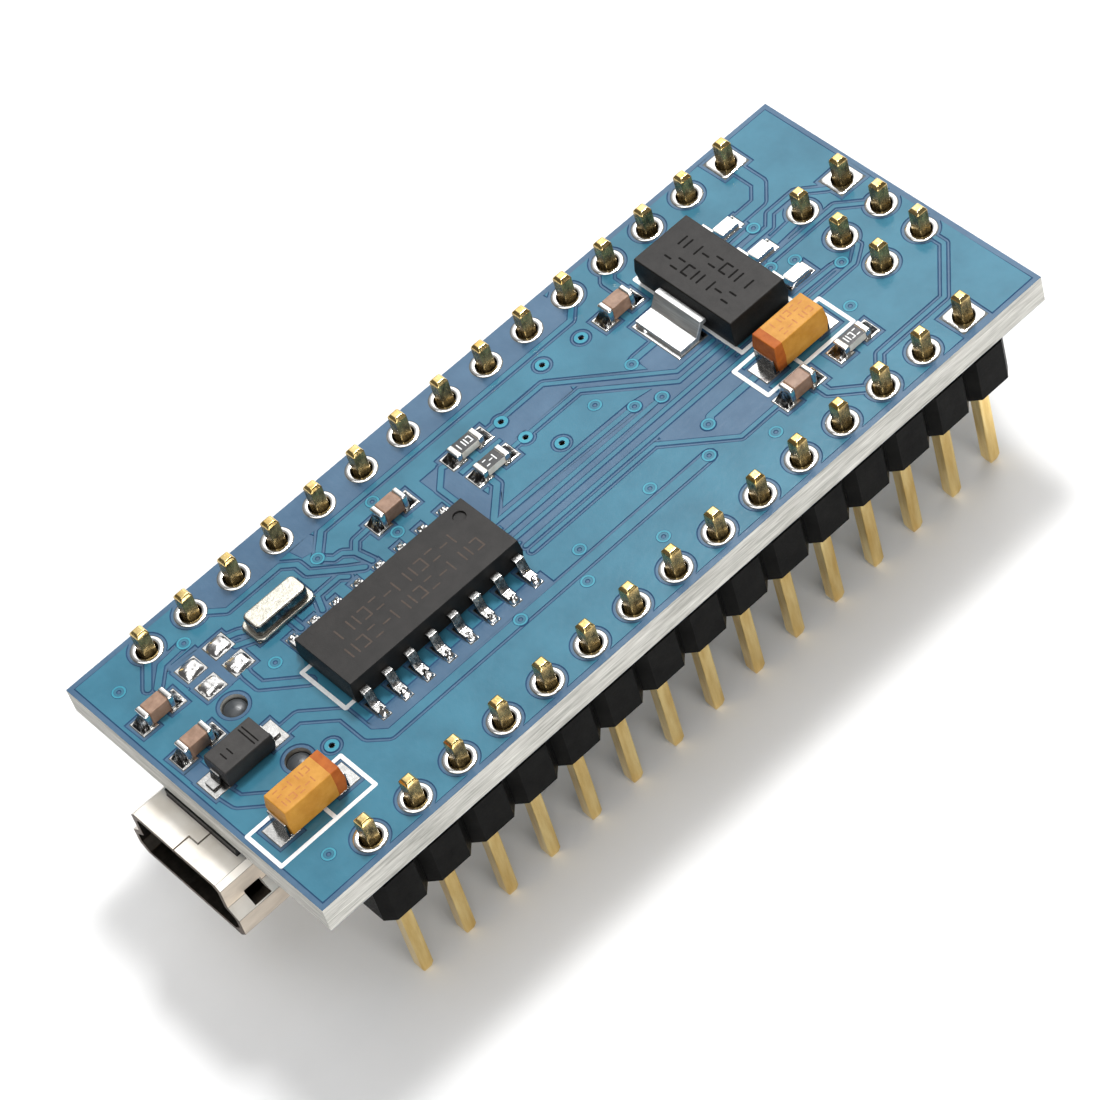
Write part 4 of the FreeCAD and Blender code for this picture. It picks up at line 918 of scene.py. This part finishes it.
def solder_fillets(node, facing):
    """A hollow fillet for each wedge of a CAD node."""
    source = solid(node)
    bm = bmesh.new()
    for shell in islands(source):
        low, high = corners(shell)
        peak = max(shell, key=lambda v: facing * v.co.z).co
        middle = (low + high) / 2
        side = -1 if peak.x < middle.x else 1
        solder_fillet(bm, side, low, high, facing)
    source.free()
    # the fillets carry the painted dark reflection
    piece(node + "_finish", bm, [SOLDER_PAINTED_REFLECTION], [node])


solder_fillets("solder_fillets_upper", 1)
solder_fillets("solder_fillets_lower", -1)


def solder_drop(bm, centre, half, rise, base, seed, ripple=0.06):
    """A rounded, slightly uneven drop of solder over a land of the upper face."""
    turns, steps, power = 28, 7, 4
    swelling = 0.45
    rings = []
    for i in range(1, steps + 1):
        r = i / steps
        loop = []
        for j in range(turns):
            angle = 2 * math.pi * j / turns
            c, s = math.cos(angle), math.sin(angle)
            reach = r / (abs(c) ** power + abs(s) ** power) ** (1 / power)
            wave = noise.noise(Vector((c * 1.3 + seed * 7.1, s * 1.3, seed * 3.7)))
            reach *= 1 + ripple * wave * r
            swell = noise.noise(Vector((c * r * 1.6, s * r * 1.6, seed * 5.3)))
            height = rise * (1 - r ** 2.6) ** 0.75 * (1 + swelling * swell)
            loop.append(bm.verts.new((centre[0] + half[0] * reach * c,
                                      centre[1] + half[1] * reach * s, base + height)))
        rings.append(loop)
    top = bm.verts.new((centre[0], centre[1], base + rise))
    for j in range(turns):
        k = (j + 1) % turns
        bm.faces.new((top, rings[0][j], rings[0][k]))
        for a, b in zip(rings, rings[1:]):
            bm.faces.new((a[j], b[j], b[k], a[k]))
    bm.faces.new(rings[-1][::-1])


DROP_SHARE = 0.96    # a drop covers this much of its land


def solder_pads():
    """The four solder pads by the port, which carry a drop each."""
    source = solid("solder_bumps")
    bm = bmesh.new()
    for seed, shell in enumerate(islands(source)):
        low, high = corners(shell)
        centre, half = (low + high) / 2, (high - low) / 2
        solder_drop(bm, centre, (half.x * DROP_SHARE, half.y * DROP_SHARE), 0.15, low.z,
                    seed + 1, 0.14)
    source.free()
    piece("solder_pads", bm, [SOLDER], ["solder_bumps"])


def toe_solder(name, leads, share, rise):
    """Drops of solder by a part's leads.

    Each covers a share of its land along y, on the side away from the part's middle.
    """
    low, high = (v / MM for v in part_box(leads))
    middle = (low + high) / 2
    bm = bmesh.new()
    for seed, land in enumerate(footprints("solder_lands_upper")):
        place = middle_of(land)
        if not all(low[i] < place[i] < high[i] for i in (0, 1)):
            continue
        size = [(max(p[i] for p in land) - min(p[i] for p in land)) / 2 for i in (0, 1)]
        half = size[0] * DROP_SHARE, size[1] * share
        outward = math.copysign(1, place.y - middle.y)
        centre = place.x, place.y + outward * (size[1] - half[1])
        solder_drop(bm, centre, half, rise, OVER + COPPER, seed + 11)
    piece(name, bm, [SOLDER])


solder_pads()
toe_solder("serial_chip_solder", "serial_chip_leads", 0.48, 0.24)
toe_solder("regulator_solder", "regulator_leads", 0.3, 0.18)


# ---------------------------------------------------------------- markings

SIGN_WIDTH = 0.55    # of the pitch


def signs(count, pitch, height, first=0):
    """A row of generic signs, none of them a letter: bars, pairs of dashes and open boxes."""
    width = pitch * SIGN_WIDTH
    top, low = height / 2, -height / 2
    kinds = (
        [((0, low), (0, top))],
        [((0, top), (width, top)), ((0, low), (width, low))],
        [((0, low), (0, top)), ((width, low), (width, top))],
        [((0, 0), (width, 0))],
        [((0, top), (width, top)), ((0, low), (width, low)), ((width, low), (width, top))],
    )
    start = -pitch * (count - 1) / 2
    found = []
    for i in range(count):
        x = start + pitch * i - width / 2
        kind = kinds[(first + 2 * i) % len(kinds)]
        found += [((x + a[0], a[1]), (x + b[0], b[1])) for a, b in kind]
    return found


MARK_RISE = 0.004
MARKED_HALF = 6.0    # half the side of the square that holds a part's marks


def marks(name, centre, level, facing, rows, ink, turn=0.0, line=0.08):
    """Rows of signs on a part's broad face; each row is its place across and its signs."""
    shapes = []
    spin = Matrix.Rotation(math.radians(turn), 2)
    for across, row in rows:
        for ends in row:
            shapes += stroke(line, *[
                tuple(spin @ Vector((x, y + across)) + Vector(centre[:2])) for x, y in ends
            ])
    outline = box_outline(centre[0] - MARKED_HALF, centre[1] - MARKED_HALF,
                          centre[0] + MARKED_HALF, centre[1] + MARKED_HALF)
    bm = sheet([("mark", shapes), ("top", [outline])], {"mark": MARK_RISE, "top": None},
               {"mark": 0}, level, facing)
    piece(name, bm, [ink])


def broad_face(node, facing):
    """The middle and the level of a node's upper or lower face."""
    low, high = (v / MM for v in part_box(node))
    return (low + high) / 2, high.z if facing > 0 else low.z


def chip_marks():
    """Generic marks on the black cases."""
    centre, level = broad_face("serial_chip_case", 1)
    marks("serial_chip_marks", centre, level, 1, [
        (0.5, signs(11, 0.66, 0.6)), (-0.6, signs(12, 0.66, 0.6, 2)),
    ], ETCH)
    centre, level = broad_face("microcontroller_case", -1)
    marks("microcontroller_marks", centre, level, -1, [
        (1.3, signs(6, 0.7, 0.5)), (0.3, signs(7, 0.7, 0.5, 1)), (-0.7, signs(5, 0.7, 0.5, 3)),
    ], ETCH, turn=45)
    centre, level = broad_face("regulator_case", 1)
    marks("regulator_marks", centre, level, 1, [
        (0.62, signs(7, 0.66, 0.55, 1)), (-0.5, signs(7, 0.66, 0.55)),
    ], ENGRAVED, turn=90, line=0.1)
    centre, level = broad_face("diode_case", 1)
    marks("diode_marks", centre, level, 1, [
        (0.0, [((-0.75, -0.2), (-0.75, 0.2)), ((-0.4, -0.2), (-0.4, 0.2)),
               ((0.55, -0.55), (0.55, 0.55)), ((0.75, -0.55), (0.75, 0.55))]),
    ], ENGRAVED, line=0.07)


def component_marks():
    """Print on each tantalum capacitor and upper resistor."""
    source = solid("tantalum_capacitor_cases")
    for order, (shell, shift) in enumerate(
            zip(sorted(islands(source), key=lambda s: -corners(s)[0].x), (0.28, -0.28))):
        low, high = corners(shell)
        centre = (low + high) / 2 + Vector((shift, 0, 0))
        marks(f"tantalum_print_{order + 1}", centre, high.z, 1, [
            (0.3, signs(5, 0.4, 0.3, order)), (-0.3, signs(5, 0.4, 0.3, order + 1)),
        ], PRINT, line=0.07)
    source.free()
    source = solid("upper_resistor_bodies")
    for order, shell in enumerate(islands(source)):
        low, high = corners(shell)
        marks(f"resistor_print_{order + 1}", (low + high) / 2, high.z, 1, [
            (0.0, signs(3, 0.27, 0.34, order)),
        ], INK, line=0.06)
    source.free()


chip_marks()
component_marks()


def peg_domes():
    """The rounded tops of the port's two locating pegs."""
    bm = bmesh.new()
    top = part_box("usb_insulator")[1].z / MM
    radius, rise, steps = 0.575, 0.16, 6
    for x, y in PEG_HOLES:
        arc = [(radius * math.cos(t), top - 0.1 + (rise + 0.1) * math.sin(t))
               for t in (math.pi / 2 * i / steps for i in range(steps))]
        lathe(bm, (x, y), [(0.01, top - 0.2), (radius, top - 0.2)] + arc + [(0.01, top + rise)])
    piece("port_peg_domes", bm, [PEG_PLASTIC])


peg_domes()


# ---------------------------------------------------------------- floor, light and camera

def pale_floor():
    """A square of pale paper, a hair below the tips of the pins."""
    half, level = 0.9, -0.00002
    bm = bmesh.new()
    bm.faces.new([bm.verts.new((x, y, level)) for x, y in
                  ((-half, -half), (half, -half), (half, half), (-half, half))])
    mesh = bpy.data.meshes.new("floor")
    bm.to_mesh(mesh)
    bm.free()
    floor = bpy.data.objects.new("floor", mesh)
    mesh.materials.append(finish("floor_paper", (0.86, 0.86, 0.86), (0.90, 0.90, 0.90),
                                 (0.8, 0.95), size=9, fine=0.4, depth=0.002))
    bpy.context.scene.collection.objects.link(floor)


def soft_lamp(name, place, size, power):
    """A white panel that faces the board."""
    data = bpy.data.lights.new(name, "AREA")
    data.shape = "RECTANGLE"
    data.size, data.size_y = size
    data.energy = power
    lamp = bpy.data.objects.new(name, data)
    lamp.location = place
    lamp.rotation_euler = (Vector((0, 0, 0.01)) - lamp.location).to_track_quat("-Z", "Y").to_euler()
    bpy.context.scene.collection.objects.link(lamp)


def studio():
    """A dim tent with a bright wall behind the board, a key lamp above and softer fills."""
    world = bpy.data.worlds.new("studio")
    world.use_nodes = True
    tree = world.node_tree
    sky = tree.nodes["Background"]
    heading = tree.nodes.new("ShaderNodeTexCoord")
    towards = tree.nodes.new("ShaderNodeVectorMath")
    towards.operation = "DOT_PRODUCT"
    towards.inputs[1].default_value = Vector((0.62, 0.52, 0.58)).normalized()
    half = tree.nodes.new("ShaderNodeMath")
    half.operation = "MULTIPLY_ADD"
    half.inputs[1].default_value = 0.5
    half.inputs[2].default_value = 0.5
    ramp = tree.nodes.new("ShaderNodeValToRGB")
    levels = ramp.color_ramp.elements
    levels.new(0.5)
    levels.new(0.75)
    for element, (place, glow) in zip(levels, (
            (0.76, 0.06), (0.89, 0.16), (0.94, 0.3), (0.985, 0.9))):
        element.position = place
        element.color = (glow, glow, glow, 1)
    sky.inputs["Strength"].default_value = 2.0
    for a, b in (
        (heading.outputs["Generated"], towards.inputs[0]),
        (towards.outputs["Value"], half.inputs[0]),
        (half.outputs[0], ramp.inputs["Fac"]),
        (ramp.outputs["Color"], sky.inputs["Color"]),
    ):
        tree.links.new(a, b)
    bpy.context.scene.world = world
    soft_lamp("key", (0.084, 0.070, 0.224), (0.048, 0.048), 0.42)
    soft_lamp("overhead", (-0.12, 0.02, 0.62), (0.5, 0.5), 1.5)
    soft_lamp("front_fill", (-0.12, -0.50, 0.20), (0.5, 0.3), 2.1)


CAMERA_PLACE = Vector((-56.17, -102.47, 147.30)) * MM
CAMERA_AIM = Vector((-2.79, -2.54, 10.14)) * MM
CAMERA_ROLL = math.radians(-18.5)
FOCAL_LENGTH = 134.76


def camera():
    """The camera at the photograph's viewing angle."""
    data = bpy.data.cameras.new("camera")
    data.sensor_width = 36
    data.lens = FOCAL_LENGTH
    data.clip_start = 0.01
    view = bpy.data.objects.new("camera", data)
    facing = (CAMERA_AIM - CAMERA_PLACE).to_track_quat("-Z", "Y").to_matrix().to_4x4()
    roll = Matrix.Rotation(CAMERA_ROLL, 4, "Z")
    view.matrix_world = Matrix.Translation(CAMERA_PLACE) @ facing @ roll
    bpy.context.scene.collection.objects.link(view)
    bpy.context.scene.camera = view


pale_floor()
studio()
camera()
bpy.context.scene.view_settings.view_transform = "Standard"
